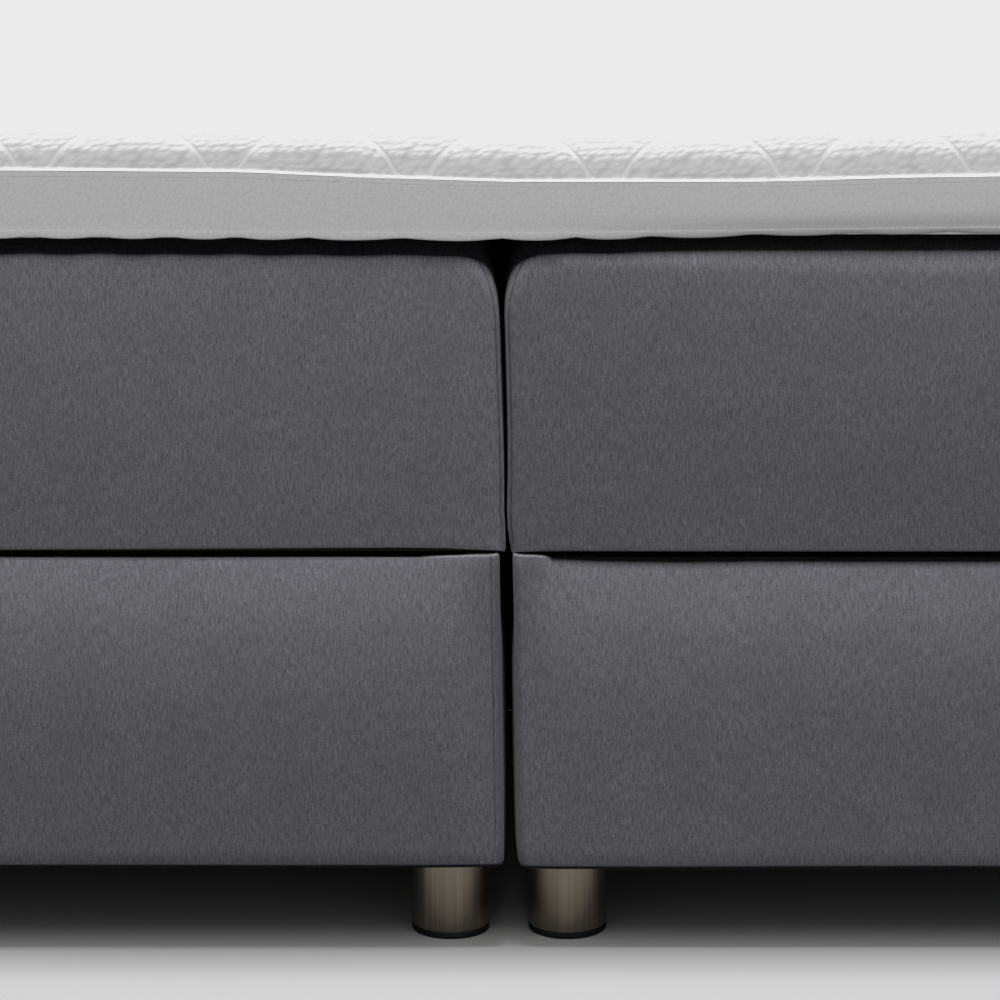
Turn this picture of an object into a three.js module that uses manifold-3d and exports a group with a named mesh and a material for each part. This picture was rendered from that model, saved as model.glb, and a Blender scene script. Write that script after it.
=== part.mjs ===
// A box spring bed for two: two upholstered spring bases on round steel legs, an upholstered pocket
// spring mattress on each, and one quilted topper over both. Millimetres, +Z up. The origin is on
// the floor under the middle of the bed, and the foot end looks towards -Y.

import * as THREE from 'three';
import { mergeVertices } from 'three/addons/utils/BufferGeometryUtils.js';
import Module from 'manifold-3d';

const wasm = await Module();
wasm.setup();

// Whole bed
const bedWidth = 1800;
const bedLength = 2000;
const seatGap = 0.3; // left between pieces that touch
const cutOverrun = 4; // how far a cutting body runs past what it cuts
const leastCorner = 2; // corner radius of blocks and boards
const weldDistance = 0.001;

// Legs: a steel tube with a welded top plate and stud
const legRadius = 30;
const legHeight = 67; // floor to the top plate, glide included
const legWall = 1.6;
const legPlateThickness = 3;
const legEdgeBevel = 0.8;
const studRadius = 4;
const studLength = 28;
const studTipBevel = 1;
const legSideInset = 40; // leg centre to the base's long side
const legEndInset = 48; // leg centre to the base's end

// Plastic glide pressed into the tube's lower end
const glideThickness = 5;
const glideBevel = 1.5;
const glidePlugHeight = 12;

// Spring base
const baseHeight = 246;
const baseGap = 10; // between the two bases
const baseCorner = 9; // rounding of the upright corners
const baseTopRounding = 7;
const baseBottomRounding = 5;
const baseWall = 6; // upholstery fabric on its fleece
const baseLipWidth = 30; // turned in and stapled under the frame
const baseLipThickness = 1.4;
const topClothThickness = 4;
const studHoleRadius = 6; // in the dust cover

// Timber frame in the base
const railThickness = 18;
const railHeight = 120;
const blockWidth = 70;
const blockLength = 84;
const blockHeight = 45;
const blockBevel = 14;
const slatCount = 9;
const slatWidth = 80;
const slatThickness = 18;
const slatLap = 6; // the slats are let into the batten this far
const battenWidth = 45;
const battenHeight = 60;

// Springs and foam in the base
const hoodWall = 28;
const hoodTop = 22;
const pocketPitch = 80; // from one pocketed spring to the next
const pocketBulge = 12; // how far a pocket stands out of the block's side

// Mattress
const mattressHeight = 241.5;
const mattressGap = 4; // between the two mattresses
const mattressCorner = 10;
const mattressWall = 6; // cover fabric on its quilted lining
const sideRollWidth = 34; // rounding along the long top edges, across the bed
const sideRollHeight = 60;
const endRoll = 28; // rounding along the top edge at the foot and head
const mattressBottomRounding = 5;
const baseClothThickness = 5;
const endPanelSeamInset = 6; // seam to the silhouette, seen from the foot
const endPanelDepth = 14;
const bottomFoamThickness = 25;
const springCoreHeight = 135;

// Topper
const hemHeight = 6;
const borderHeight = 42.4;
const borderWall = 6;
const borderInset = 1; // the piping and the hem stand this proud of the border
const pipingRadius = 1.5;
const quiltRise = 34.4; // from the upper piping to the top of the quilting
const topperCorner = 40;
const topperBottomThickness = 2;
const coreThickness = 60;
const coreBevel = 30; // the foam's top edges slope down to the border
const crownWidth = 60; // the quilting rolls down to the piping over this width
const crownMargin = 2; // the roll's crest above the quilting's highest points

// Quilting: diamonds stitched on two sets of slanted lines
const quiltAcross = 140; // one diamond, measured across the bed
const quiltAlong = 136; // and along it
const quiltPuff = 8; // middle of a diamond above its stitched edges
const quiltFirstRow = 118; // first row of crossings, from the foot end

// Zip in the border at the head end
const zipMargin = 100; // from the zip's end to the side of the bed
const zipLength = bedWidth - 2 * zipMargin;
const zipHeight = 12;
const zipRise = 5; // above the hem
const zipTapeThickness = 2;
const zipCoilWidth = 3;
const zipCoilHeight = 1.2;
const zipEndStop = 5;
const sliderLength = 14;
const sliderHeight = 9;
const sliderThickness = 3.2;
const pullLength = 24;
const pullWidth = 5;
const pullThickness = 1.2;

// Connector plates under the bases
const plateLength = 110;
const plateWidth = 40;
const plateThickness = 2;
const plateHoleRadius = 2.6;
const plateHoleSpacing = 20; // centre to centre, along the bed
const plateHoleInset = 18; // from the plate's end
const plateFromEnd = 420; // plate centre to the end of the bed

// Counts of facets
const cornerSteps = 3;
const roundSegments = 20;
const holeSegments = 12;
const pipingSides = 8;
const rollSteps = 5;
const crownSteps = 4;
const pocketSteps = 3;
const plateSteps = 8;

// Worked out from the sizes above
const baseWidth = (bedWidth - baseGap) / 2;
const baseCentre = (bedWidth + baseGap) / 4;
const baseBottom = legHeight + seatGap;
const mattressWidth = (bedWidth - mattressGap) / 2;
const mattressCentre = (bedWidth + mattressGap) / 4;
const mattressBottom = baseBottom + baseHeight + seatGap;
const topperBottom = mattressBottom + mattressHeight + seatGap;

const materials = {
  upholstery: new THREE.MeshStandardMaterial({ color: 0x55555c, roughness: 0.9, metalness: 0 }),
  blackCloth: new THREE.MeshStandardMaterial({ color: 0x17171a, roughness: 0.95, metalness: 0 }),
  ticking: new THREE.MeshStandardMaterial({ color: 0xececec, roughness: 0.85, metalness: 0 }),
  borderMesh: new THREE.MeshStandardMaterial({ color: 0xb4b4b4, roughness: 0.85, metalness: 0 }),
  foam: new THREE.MeshStandardMaterial({ color: 0xe9e2cf, roughness: 0.95, metalness: 0 }),
  pocketFleece: new THREE.MeshStandardMaterial({ color: 0xf4f4f2, roughness: 0.9, metalness: 0 }),
  pine: new THREE.MeshStandardMaterial({ color: 0xc9a26b, roughness: 0.7, metalness: 0 }),
  bronzedSteel: new THREE.MeshStandardMaterial({ color: 0x6b6256, roughness: 0.35, metalness: 1 }),
  zincSteel: new THREE.MeshStandardMaterial({ color: 0xa8acb0, roughness: 0.4, metalness: 1 }),
  blackPlastic: new THREE.MeshStandardMaterial({ color: 0x101011, roughness: 0.5, metalness: 0 }),
  zipTape: new THREE.MeshStandardMaterial({ color: 0xd8d8d8, roughness: 0.8, metalness: 0 }),
};

// One loop of a stack: a rounded rectangle, anticlockwise seen from above
function roundedLoop(plan, layer) {
  const insetX = layer.insetX ?? layer.inset;
  const insetY = layer.insetY ?? layer.inset;
  const radius = layer.corner ?? Math.max(plan.corner - Math.max(insetX, insetY), leastCorner);
  const armX = plan.halfWidth - insetX - radius;
  const armY = plan.halfLength - insetY - radius;
  const points = [];
  for (let quarter = 0; quarter < 4; quarter++) {
    const signX = quarter === 0 || quarter === 3 ? 1 : -1;
    const signY = quarter < 2 ? 1 : -1;
    for (let step = 0; step <= cornerSteps; step++) {
      const angle = ((quarter + step / cornerSteps) * Math.PI) / 2;
      const x = signX * armX + radius * Math.cos(angle);
      const y = signY * armY + radius * Math.sin(angle);
      points.push([x, y, layer.z]);
    }
  }
  return points;
}

// Joins each loop of a stack to the next with two triangles a side
function skinLoops(loops, closed) {
  const count = loops[0].length;
  const index = [];
  const bands = closed ? loops.length : loops.length - 1;
  for (let band = 0; band < bands; band++) {
    const low = band * count;
    const high = ((band + 1) % loops.length) * count;
    for (let side = 0; side < count; side++) {
      const next = (side + 1) % count;
      index.push(low + side, low + next, high + next);
      index.push(low + side, high + next, high + side);
    }
  }
  return index;
}

function meshFrom(points, index) {
  const geometry = new THREE.BufferGeometry();
  geometry.setAttribute('position', new THREE.Float32BufferAttribute(points.flat(), 3));
  geometry.setIndex(index);
  return geometry;
}

// A slab made of stacked loops, lowest first, with a flat cap at both ends
function slab(plan, layers) {
  const loops = layers.map((layer) => roundedLoop(plan, layer));
  const count = loops[0].length;
  const index = skinLoops(loops, false);
  const top = (loops.length - 1) * count;
  for (let side = 1; side < count - 1; side++) {
    index.push(0, side + 1, side);
    index.push(top, top + side, top + side + 1);
  }
  return meshFrom(loops.flat(), index);
}

// A closed band round the plan; its section runs outside upwards and inside back down
function band(plan, section) {
  const loops = section.map((layer) => roundedLoop(plan, layer));
  return meshFrom(loops.flat(), skinLoops(loops, true));
}

function toSolid(geometry) {
  const bare = new THREE.BufferGeometry();
  bare.setAttribute('position', geometry.getAttribute('position'));
  bare.setIndex(geometry.getIndex());
  const merged = mergeVertices(bare, weldDistance);
  const vertProperties = new Float32Array(merged.getAttribute('position').array);
  const triVerts = new Uint32Array(merged.getIndex().array);
  return new wasm.Manifold(new wasm.Mesh({ numProp: 3, vertProperties, triVerts }));
}

function toGeometry(solid) {
  const mesh = solid.getMesh();
  const geometry = new THREE.BufferGeometry();
  geometry.setAttribute('position', new THREE.BufferAttribute(mesh.vertProperties, 3));
  geometry.setIndex(new THREE.BufferAttribute(mesh.triVerts, 1));
  return geometry;
}

function cut(geometry, ...cutters) {
  const solid = cutters.reduce((left, cutter) => left.subtract(toSolid(cutter)), toSolid(geometry));
  return toGeometry(solid);
}

function join(geometry, ...others) {
  const solid = others.reduce((whole, other) => whole.add(toSolid(other)), toSolid(geometry));
  return toGeometry(solid);
}

function common(geometry, other) {
  return toGeometry(toSolid(geometry).intersect(toSolid(other)));
}

// A box by its middle in plan and the height of its underside
function block(width, length, height, x, y, bottom) {
  return new THREE.BoxGeometry(width, length, height).translate(x, y, bottom + height / 2);
}

function revolve(profile, segments) {
  const points = profile.map(([radius, height]) => new THREE.Vector2(radius, height));
  return new THREE.LatheGeometry(points, segments).rotateX(Math.PI / 2);
}

// A round peg for cutting holes, from one height to another
function peg(radius, x, y, bottom, top) {
  const height = top - bottom;
  const cylinder = new THREE.CylinderGeometry(radius, radius, height, holeSegments);
  return cylinder.rotateX(Math.PI / 2).translate(x, y, bottom + height / 2);
}

function place(group, name, geometry, material) {
  const mesh = new THREE.Mesh(geometry, material);
  mesh.name = name;
  group.add(mesh);
  return mesh;
}

// Height and inset of a quarter-round edge at an angle from its upright side
function roundedEdge(radius, angle) {
  return { inset: radius * (1 - Math.cos(angle)), rise: radius * Math.sin(angle) };
}

const legPlaces = [];
for (const end of [-1, 1]) {
  for (const side of [-1, 1]) {
    const x = side * (baseWidth / 2 - legSideInset);
    const y = end * (bedLength / 2 - legEndInset);
    legPlaces.push({ x, y, side, end });
  }
}

// The leg stands on its glide: the origin is on the floor under its middle
function legGeometry() {
  const tubeBottom = glideThickness + seatGap;
  const studTop = legHeight + studLength;
  const inside = legRadius - legWall;
  return revolve([
    [0, legHeight - legPlateThickness],
    [inside, legHeight - legPlateThickness],
    [inside, tubeBottom],
    [legRadius, tubeBottom],
    [legRadius, legHeight - legEdgeBevel],
    [legRadius - legEdgeBevel, legHeight],
    [studRadius, legHeight],
    [studRadius, studTop - studTipBevel],
    [studRadius - studTipBevel, studTop],
    [0, studTop],
  ], roundSegments);
}

function glideGeometry() {
  const plugRadius = legRadius - legWall - seatGap;
  const plugTop = glideThickness + glidePlugHeight;
  return revolve([
    [0, 0],
    [legRadius - glideBevel, 0],
    [legRadius, glideBevel],
    [legRadius, glideThickness],
    [plugRadius, glideThickness],
    [plugRadius, plugTop],
    [0, plugTop],
  ], roundSegments);
}

// Stacked from the underside of the base upwards
const lipTop = baseLipThickness;
const frameBottom = lipTop + seatGap;
const frameTop = frameBottom + railHeight;
const deckBottom = frameTop + seatGap;
const deckTop = deckBottom + slatThickness;
const hoodBottom = deckTop + seatGap;
const clothBottom = baseHeight - topClothThickness;
const hoodUpper = clothBottom - seatGap;
const frameInset = baseWall + seatGap;
const basePlan = { halfWidth: baseWidth / 2, halfLength: bedLength / 2, corner: baseCorner };
const innerWidth = baseWidth - 2 * frameInset;
const innerLength = bedLength - 2 * frameInset;

const eighthTurn = Math.PI / 4;

// The frame's corners are eased where the sleeve turns round them
function easeCorners(geometry) {
  const layers = [{ inset: frameInset, z: 0 }, { inset: frameInset, z: hoodUpper }];
  return common(geometry, slab(basePlan, layers));
}

function sleeveGeometry() {
  const foot = roundedEdge(baseBottomRounding, eighthTurn);
  const middle = roundedEdge(baseTopRounding, eighthTurn / 2);
  const seam = roundedEdge(baseTopRounding, eighthTurn);
  const shoulder = baseHeight - baseTopRounding;
  return band(basePlan, [
    { inset: baseBottomRounding, z: 0 },
    { inset: foot.inset, z: baseBottomRounding - foot.rise },
    { inset: 0, z: baseBottomRounding },
    { inset: 0, z: shoulder },
    { inset: middle.inset, z: shoulder + middle.rise },
    { inset: seam.inset, z: shoulder + seam.rise },
    { inset: baseWall, z: clothBottom - seatGap },
    { inset: baseWall, z: lipTop },
    { inset: baseLipWidth, z: lipTop },
    { inset: baseLipWidth, z: 0 },
  ]);
}

function topClothGeometry() {
  const seam = roundedEdge(baseTopRounding, eighthTurn);
  const upper = roundedEdge(baseTopRounding, eighthTurn * 1.5);
  const shoulder = baseHeight - baseTopRounding;
  return slab(basePlan, [
    { inset: frameInset, z: clothBottom },
    { inset: seam.inset + seatGap, z: shoulder + seam.rise + seatGap },
    { inset: upper.inset + seatGap / 2, z: shoulder + upper.rise },
    { inset: baseTopRounding, z: baseHeight },
  ]);
}

function dustCoverGeometry() {
  const inset = baseLipWidth + seatGap;
  const sheet = slab(basePlan, [{ inset, z: 0 }, { inset, z: lipTop }]);
  const pegTop = lipTop + cutOverrun;
  const pegs = legPlaces.map(({ x, y }) => peg(studHoleRadius, x, y, -cutOverrun, pegTop));
  return cut(sheet, ...pegs);
}

// A long board with the two glued blocks that take its legs
function sideRailGeometry(side) {
  const boardFace = innerWidth / 2 - railThickness;
  const endFace = innerLength / 2 - railThickness - seatGap;
  const boardX = side * (boardFace + railThickness / 2);
  const board = block(railThickness, innerLength, railHeight, boardX, 0, frameBottom);
  const blocks = [];
  const pegs = [];
  for (const { x, y, end } of legPlaces.filter((spot) => spot.side === side)) {
    const corners = [
      [-railThickness / 2, 0],
      [blockWidth, 0],
      [blockWidth, blockLength - blockBevel],
      [blockWidth - blockBevel, blockLength],
      [-railThickness / 2, blockLength],
    ];
    const points = corners.map(([across, along]) => new THREE.Vector2(-side * across, -end * along));
    const shape = new THREE.Shape(points);
    const corner = new THREE.ExtrudeGeometry(shape, { depth: blockHeight, bevelEnabled: false });
    blocks.push(corner.translate(side * boardFace, end * endFace, frameBottom));
    const holeTop = frameBottom + studLength;
    pegs.push(peg(studRadius + seatGap, x, y, frameBottom - cutOverrun, holeTop));
  }
  return cut(easeCorners(join(board, ...blocks)), ...pegs);
}

function endRailGeometry(end) {
  const width = innerWidth - 2 * railThickness - 2 * seatGap;
  const y = end * (innerLength / 2 - railThickness / 2);
  return block(width, railThickness, railHeight, 0, y, frameBottom);
}

// Cross slats let into a centre batten that runs between the end rails
function slatDeckGeometry() {
  const battenLength = innerLength - 2 * railThickness - 2 * seatGap;
  const battenBottom = deckBottom + slatLap - battenHeight;
  const batten = block(battenWidth, battenLength, battenHeight, 0, 0, battenBottom);
  const run = innerLength - slatWidth;
  const slats = [];
  for (let slat = 0; slat < slatCount; slat++) {
    const y = -run / 2 + (run * slat) / (slatCount - 1);
    slats.push(block(innerWidth, slatWidth, slatThickness, 0, y, deckBottom));
  }
  return easeCorners(join(batten, ...slats));
}

// A block of pocketed springs: the outer row bulges out along all four sides
function pocketBlock(width, length, height, bottom) {
  const centre = new THREE.Vector2();
  const outline = [];
  for (let turn = 0; turn < 4; turn++) {
    const run = (turn % 2 === 0 ? width : length) - 2 * pocketBulge;
    const reach = (turn % 2 === 0 ? length : width) / 2 - pocketBulge;
    const pockets = Math.round(run / pocketPitch);
    for (let step = 0; step < pockets * pocketSteps; step++) {
      const passed = step / pocketSteps;
      const along = (run * passed) / pockets - run / 2;
      const out = reach + pocketBulge * Math.sin(Math.PI * (passed % 1));
      outline.push(new THREE.Vector2(along, -out).rotateAround(centre, (turn * Math.PI) / 2));
    }
  }
  const shape = new THREE.Shape(outline);
  const springs = new THREE.ExtrudeGeometry(shape, { depth: height, bevelEnabled: false });
  return springs.translate(0, 0, bottom);
}

// An upturned foam tray over the springs
function hoodGeometry() {
  const inset = frameInset;
  const outside = slab(basePlan, [{ inset, z: hoodBottom }, { inset, z: hoodUpper }]);
  const room = inset + hoodWall;
  const inside = slab(basePlan, [
    { inset: room, z: hoodBottom - cutOverrun },
    { inset: room, z: hoodUpper - hoodTop },
  ]);
  return cut(outside, inside);
}

function baseSpringGeometry() {
  const inset = frameInset + hoodWall + seatGap;
  const top = hoodUpper - hoodTop - seatGap;
  const width = baseWidth - 2 * inset;
  return pocketBlock(width, bedLength - 2 * inset, top - hoodBottom, hoodBottom);
}

function addBase(bed, name, side) {
  const base = new THREE.Group();
  base.position.set(side * baseCentre, 0, baseBottom);
  bed.add(base);
  place(base, `${name}_outer_rail`, sideRailGeometry(side), materials.pine);
  place(base, `${name}_inner_rail`, sideRailGeometry(-side), materials.pine);
  place(base, `${name}_foot_rail`, endRailGeometry(-1), materials.pine);
  place(base, `${name}_head_rail`, endRailGeometry(1), materials.pine);
  place(base, `${name}_slat_deck`, slatDeckGeometry(), materials.pine);
  place(base, `${name}_spring_unit`, baseSpringGeometry(), materials.pocketFleece);
  place(base, `${name}_foam_hood`, hoodGeometry(), materials.foam);
  place(base, `${name}_sleeve`, sleeveGeometry(), materials.upholstery);
  place(base, `${name}_top_cloth`, topClothGeometry(), materials.blackCloth);
  place(base, `${name}_dust_cover`, dustCoverGeometry(), materials.blackCloth);
}

function addLegs(bed, name, side) {
  for (const spot of legPlaces) {
    const edge = spot.side === side ? 'outer' : 'inner';
    const end = spot.end === 1 ? 'head' : 'foot';
    for (const [kind, geometry, material] of [
      ['leg', legGeometry(), materials.bronzedSteel],
      ['glide', glideGeometry(), materials.blackPlastic],
    ]) {
      const mesh = place(bed, `${name}_${end}_${edge}_${kind}`, geometry, material);
      mesh.position.set(side * baseCentre + spot.x, spot.y, 0);
    }
  }
}

// Mattress heights, from its own underside
const mattressPlan = {
  halfWidth: mattressWidth / 2,
  halfLength: bedLength / 2,
  corner: mattressCorner,
};
const bottomSeam = roundedEdge(mattressBottomRounding, eighthTurn);
const bottomSeamZ = mattressBottomRounding - bottomSeam.rise;
const bottomFoamZ = baseClothThickness + seatGap;
const springCoreZ = bottomFoamZ + bottomFoamThickness + seatGap;
const topFoamZ = springCoreZ + springCoreHeight + seatGap;
const mattressInset = mattressWall + seatGap;

// The rounded shoulders of the mattress, at a depth inside its outer skin
function shoulderLayers(depth) {
  const width = sideRollWidth - depth;
  const height = sideRollHeight - depth;
  const endRadius = endRoll - depth;
  const top = mattressHeight - depth;
  const layers = [];
  for (let step = 0; step <= rollSteps; step++) {
    const angle = ((step / rollSteps) * Math.PI) / 2;
    const z = top - height + height * Math.sin(angle);
    const rise = Math.max(0, z - (top - endRadius));
    const drawnIn = width * (1 - Math.cos(angle));
    const insetX = depth + drawnIn;
    const insetY = depth + endRadius - Math.sqrt(Math.max(0, endRadius ** 2 - rise ** 2));
    const corner = Math.max(mattressCorner - depth, leastCorner) + drawnIn;
    layers.push({ insetX, insetY, z, corner });
  }
  return layers;
}

function coverShell() {
  const outside = slab(mattressPlan, [
    { inset: mattressBottomRounding, z: 0 },
    { inset: bottomSeam.inset, z: bottomSeamZ },
    { inset: 0, z: mattressBottomRounding },
    ...shoulderLayers(0),
  ]);
  const inside = slab(mattressPlan, [
    { inset: bottomSeam.inset - seatGap, z: -cutOverrun },
    { inset: bottomSeam.inset - seatGap, z: bottomSeamZ },
    { inset: mattressWall, z: baseClothThickness + seatGap },
    ...shoulderLayers(mattressWall),
  ]);
  return cut(outside, inside);
}

// What lies inside the end panel's seam, seen from the foot or head
function endPanelPrism(end, clearance) {
  const inset = endPanelSeamInset + clearance;
  const halfWidth = mattressWidth / 2 - inset;
  const top = mattressHeight - inset;
  const rollWidth = sideRollWidth - inset;
  const rollHeight = sideRollHeight - inset;
  const shape = new THREE.Shape();
  shape.moveTo(-halfWidth, -cutOverrun);
  shape.lineTo(halfWidth, -cutOverrun);
  shape.lineTo(halfWidth, top - rollHeight);
  shape.absellipse(halfWidth - rollWidth, top - rollHeight, rollWidth, rollHeight, 0, Math.PI / 2);
  shape.lineTo(-halfWidth + rollWidth, top);
  shape.absellipse(
    -halfWidth + rollWidth, top - rollHeight, rollWidth, rollHeight, Math.PI / 2, Math.PI);
  const depth = endPanelDepth - clearance + cutOverrun;
  const options = { depth, bevelEnabled: false, curveSegments: rollSteps };
  const prism = new THREE.ExtrudeGeometry(shape, options).rotateX(Math.PI / 2);
  const face = bedLength / 2;
  return prism.translate(0, end === 1 ? face + cutOverrun : -face - cutOverrun + depth, 0);
}

function wrapGeometry() {
  return cut(coverShell(), endPanelPrism(-1, 0), endPanelPrism(1, 0));
}

function endPanelGeometry(end) {
  return common(coverShell(), endPanelPrism(end, seatGap));
}

function baseClothGeometry() {
  return slab(mattressPlan, [
    { inset: mattressBottomRounding, z: 0 },
    { inset: bottomSeam.inset, z: bottomSeamZ },
    { inset: mattressInset, z: baseClothThickness },
  ]);
}

function bottomFoamGeometry() {
  const inset = mattressInset;
  const top = bottomFoamZ + bottomFoamThickness;
  return slab(mattressPlan, [{ inset, z: bottomFoamZ }, { inset, z: top }]);
}

function springCoreGeometry() {
  const width = mattressWidth - 2 * mattressInset;
  return pocketBlock(width, bedLength - 2 * mattressInset, springCoreHeight, springCoreZ);
}

function topFoamGeometry() {
  const inset = mattressInset;
  return slab(mattressPlan, [{ inset, z: topFoamZ }, ...shoulderLayers(mattressInset)]);
}

function addMattress(bed, name, side) {
  const mattress = new THREE.Group();
  mattress.position.set(side * mattressCentre, 0, mattressBottom);
  bed.add(mattress);
  place(mattress, `${name}_cover_wrap`, wrapGeometry(), materials.upholstery);
  place(mattress, `${name}_foot_panel`, endPanelGeometry(-1), materials.upholstery);
  place(mattress, `${name}_head_panel`, endPanelGeometry(1), materials.upholstery);
  place(mattress, `${name}_base_cloth`, baseClothGeometry(), materials.blackCloth);
  place(mattress, `${name}_top_foam`, topFoamGeometry(), materials.foam);
  place(mattress, `${name}_spring_core`, springCoreGeometry(), materials.pocketFleece);
  place(mattress, `${name}_bottom_foam`, bottomFoamGeometry(), materials.foam);
}

// Topper heights, from its own underside
const topperPlan = { halfWidth: bedWidth / 2, halfLength: bedLength / 2, corner: topperCorner };
const borderZ = hemHeight + seatGap;
const borderTop = borderZ + borderHeight;
const pipingZ = borderTop + seatGap + pipingRadius;
const quiltZ = pipingZ + pipingRadius + seatGap;
const quiltTop = quiltZ + quiltRise;
const topperInner = borderInset + borderWall;
const coreInset = topperInner + seatGap;
const coreZ = topperBottomThickness + seatGap;
const coreTop = coreZ + coreThickness;

function coreLayers(clearance) {
  return [
    { inset: coreInset - clearance, z: coreZ },
    { inset: coreInset - clearance, z: borderTop + clearance },
    { inset: coreInset - clearance + coreBevel, z: coreTop + clearance },
  ];
}

// A raised diamond in every cell of the stitching, as one height field on a flat underside
function quiltField() {
  const stepX = quiltAcross / 2;
  const stepY = quiltAlong / 2;
  const halfX = Math.ceil(bedWidth / 2 / stepX) + 1;
  const firstRow = -Math.ceil(quiltFirstRow / stepY);
  const rows = Math.ceil(bedLength / stepY) + 2;
  const points = [];
  const index = [];
  const columns = 2 * halfX;
  const at = (column, row) => row * (columns + 1) + column;
  for (let row = 0; row <= rows; row++) {
    for (let column = 0; column <= columns; column++) {
      const crossing = (column - halfX + row + firstRow) % 2 === 0;
      const x = (column - halfX) * stepX - stepX;
      const y = -bedLength / 2 + quiltFirstRow + (row + firstRow) * stepY;
      points.push([x, y, crossing ? quiltTop - quiltPuff : quiltTop]);
    }
  }
  for (let row = 0; row < rows; row++) {
    for (let column = 0; column < columns; column++) {
      const near = [at(column, row), at(column + 1, row)];
      const far = [at(column + 1, row + 1), at(column, row + 1)];
      const corners = [...near, ...far];
      const crossing = (column - halfX + row + firstRow) % 2 === 0;
      const turned = crossing ? corners : [...corners.slice(1), corners[0]];
      index.push(turned[0], turned[1], turned[2], turned[0], turned[2], turned[3]);
    }
  }
  const rim = [];
  for (let column = 0; column < columns; column++) rim.push(at(column, 0));
  for (let row = 0; row < rows; row++) rim.push(at(columns, row));
  for (let column = columns; column > 0; column--) rim.push(at(column, rows));
  for (let row = rows; row > 0; row--) rim.push(at(0, row));
  const below = points.length;
  for (const corner of rim) points.push([points[corner][0], points[corner][1], 0]);
  for (let side = 0; side < rim.length; side++) {
    const next = (side + 1) % rim.length;
    index.push(rim[side], below + side, below + next);
    index.push(rim[side], below + next, rim[next]);
  }
  for (let side = 1; side < rim.length - 1; side++) {
    index.push(below, below + side + 1, below + side);
  }
  return meshFrom(points, index);
}

// The quilted panel rolls down to the piping round its edge
function topPanelGeometry() {
  const rise = quiltRise + crownMargin;
  const layers = [{ inset: borderInset, z: quiltZ }];
  for (let step = 1; step <= crownSteps; step++) {
    const angle = ((step / crownSteps) * Math.PI) / 2;
    const inset = borderInset + crownWidth * (1 - Math.cos(angle));
    layers.push({ inset, z: quiltZ + rise * Math.sin(angle) });
  }
  const crown = slab(topperPlan, layers);
  return cut(common(quiltField(), crown), slab(topperPlan, coreLayers(seatGap)));
}

function borderGeometry() {
  const ring = band(topperPlan, [
    { inset: borderInset, z: borderZ },
    { inset: borderInset, z: borderTop },
    { inset: topperInner, z: borderTop },
    { inset: topperInner, z: borderZ },
  ]);
  const slotHeight = zipHeight + 2 * seatGap;
  const slotY = bedLength / 2 - borderInset - borderWall / 2;
  const slotDepth = borderWall + cutOverrun;
  const slot = block(zipLength + 2 * seatGap, slotDepth, slotHeight, 0, slotY, zipZ - seatGap);
  return cut(ring, slot);
}

// A round cord along the upper seam
function pipingGeometry() {
  const section = [];
  for (let side = 0; side < pipingSides; side++) {
    const angle = (side / pipingSides) * 2 * Math.PI;
    const inset = pipingRadius * (1 - Math.cos(angle));
    section.push({ inset, z: pipingZ + pipingRadius * Math.sin(angle) });
  }
  return band(topperPlan, section);
}

// A folded hem under the border, rounded on the outside
function hemGeometry() {
  const half = hemHeight / 2;
  return band(topperPlan, [
    { inset: borderInset, z: 0 },
    { inset: 0, z: half / 2 },
    { inset: 0, z: hemHeight - half / 2 },
    { inset: borderInset, z: hemHeight },
    { inset: topperInner, z: hemHeight },
    { inset: topperInner, z: 0 },
  ]);
}

function topperBottomGeometry() {
  const inset = coreInset;
  return slab(topperPlan, [{ inset, z: 0 }, { inset, z: topperBottomThickness }]);
}

function topperCoreGeometry() {
  return slab(topperPlan, coreLayers(0));
}

// The zip lies in a slot of the border, its tape flush with the border's inner face
const zipZ = borderZ + zipRise;
const tapeY = bedLength / 2 - topperInner + zipTapeThickness / 2;
const tapeFace = tapeY + zipTapeThickness / 2;
const zipMiddleZ = zipZ + zipHeight / 2;

function zipTapeGeometry() {
  const tape = block(zipLength, zipTapeThickness, zipHeight, 0, tapeY, zipZ);
  const coilLength = zipLength - 2 * zipEndStop;
  const coilDepth = zipCoilHeight + zipTapeThickness / 2;
  const coilY = tapeY + coilDepth / 2;
  const coil = block(coilLength, coilDepth, zipCoilWidth, 0, coilY, zipMiddleZ - zipCoilWidth / 2);
  return join(tape, coil);
}

// The slider straddles the coil, and its pull lies back along the tape
function zipSliderGeometry() {
  const x = -zipLength / 2 + zipEndStop + sliderLength / 2;
  const backY = tapeFace + seatGap;
  const bodyY = backY + sliderThickness / 2;
  const bodyZ = zipMiddleZ - sliderHeight / 2;
  const body = block(sliderLength, sliderThickness, sliderHeight, x, bodyY, bodyZ);
  const channelHeight = zipCoilWidth + 2 * seatGap;
  const channelDepth = zipCoilHeight + cutOverrun;
  const channelY = tapeFace + zipCoilHeight + seatGap - channelDepth / 2;
  const channelLength = sliderLength + 2 * cutOverrun;
  const channel = block(
    channelLength, channelDepth, channelHeight, x, channelY, zipMiddleZ - channelHeight / 2);
  const pullX = x + sliderLength / 2 + pullLength / 2 - pullThickness;
  const pullY = backY + sliderThickness - pullThickness / 2;
  const pull = block(pullLength, pullThickness, pullWidth, pullX, pullY, zipMiddleZ - pullWidth / 2);
  return join(cut(body, channel), pull);
}

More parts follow.
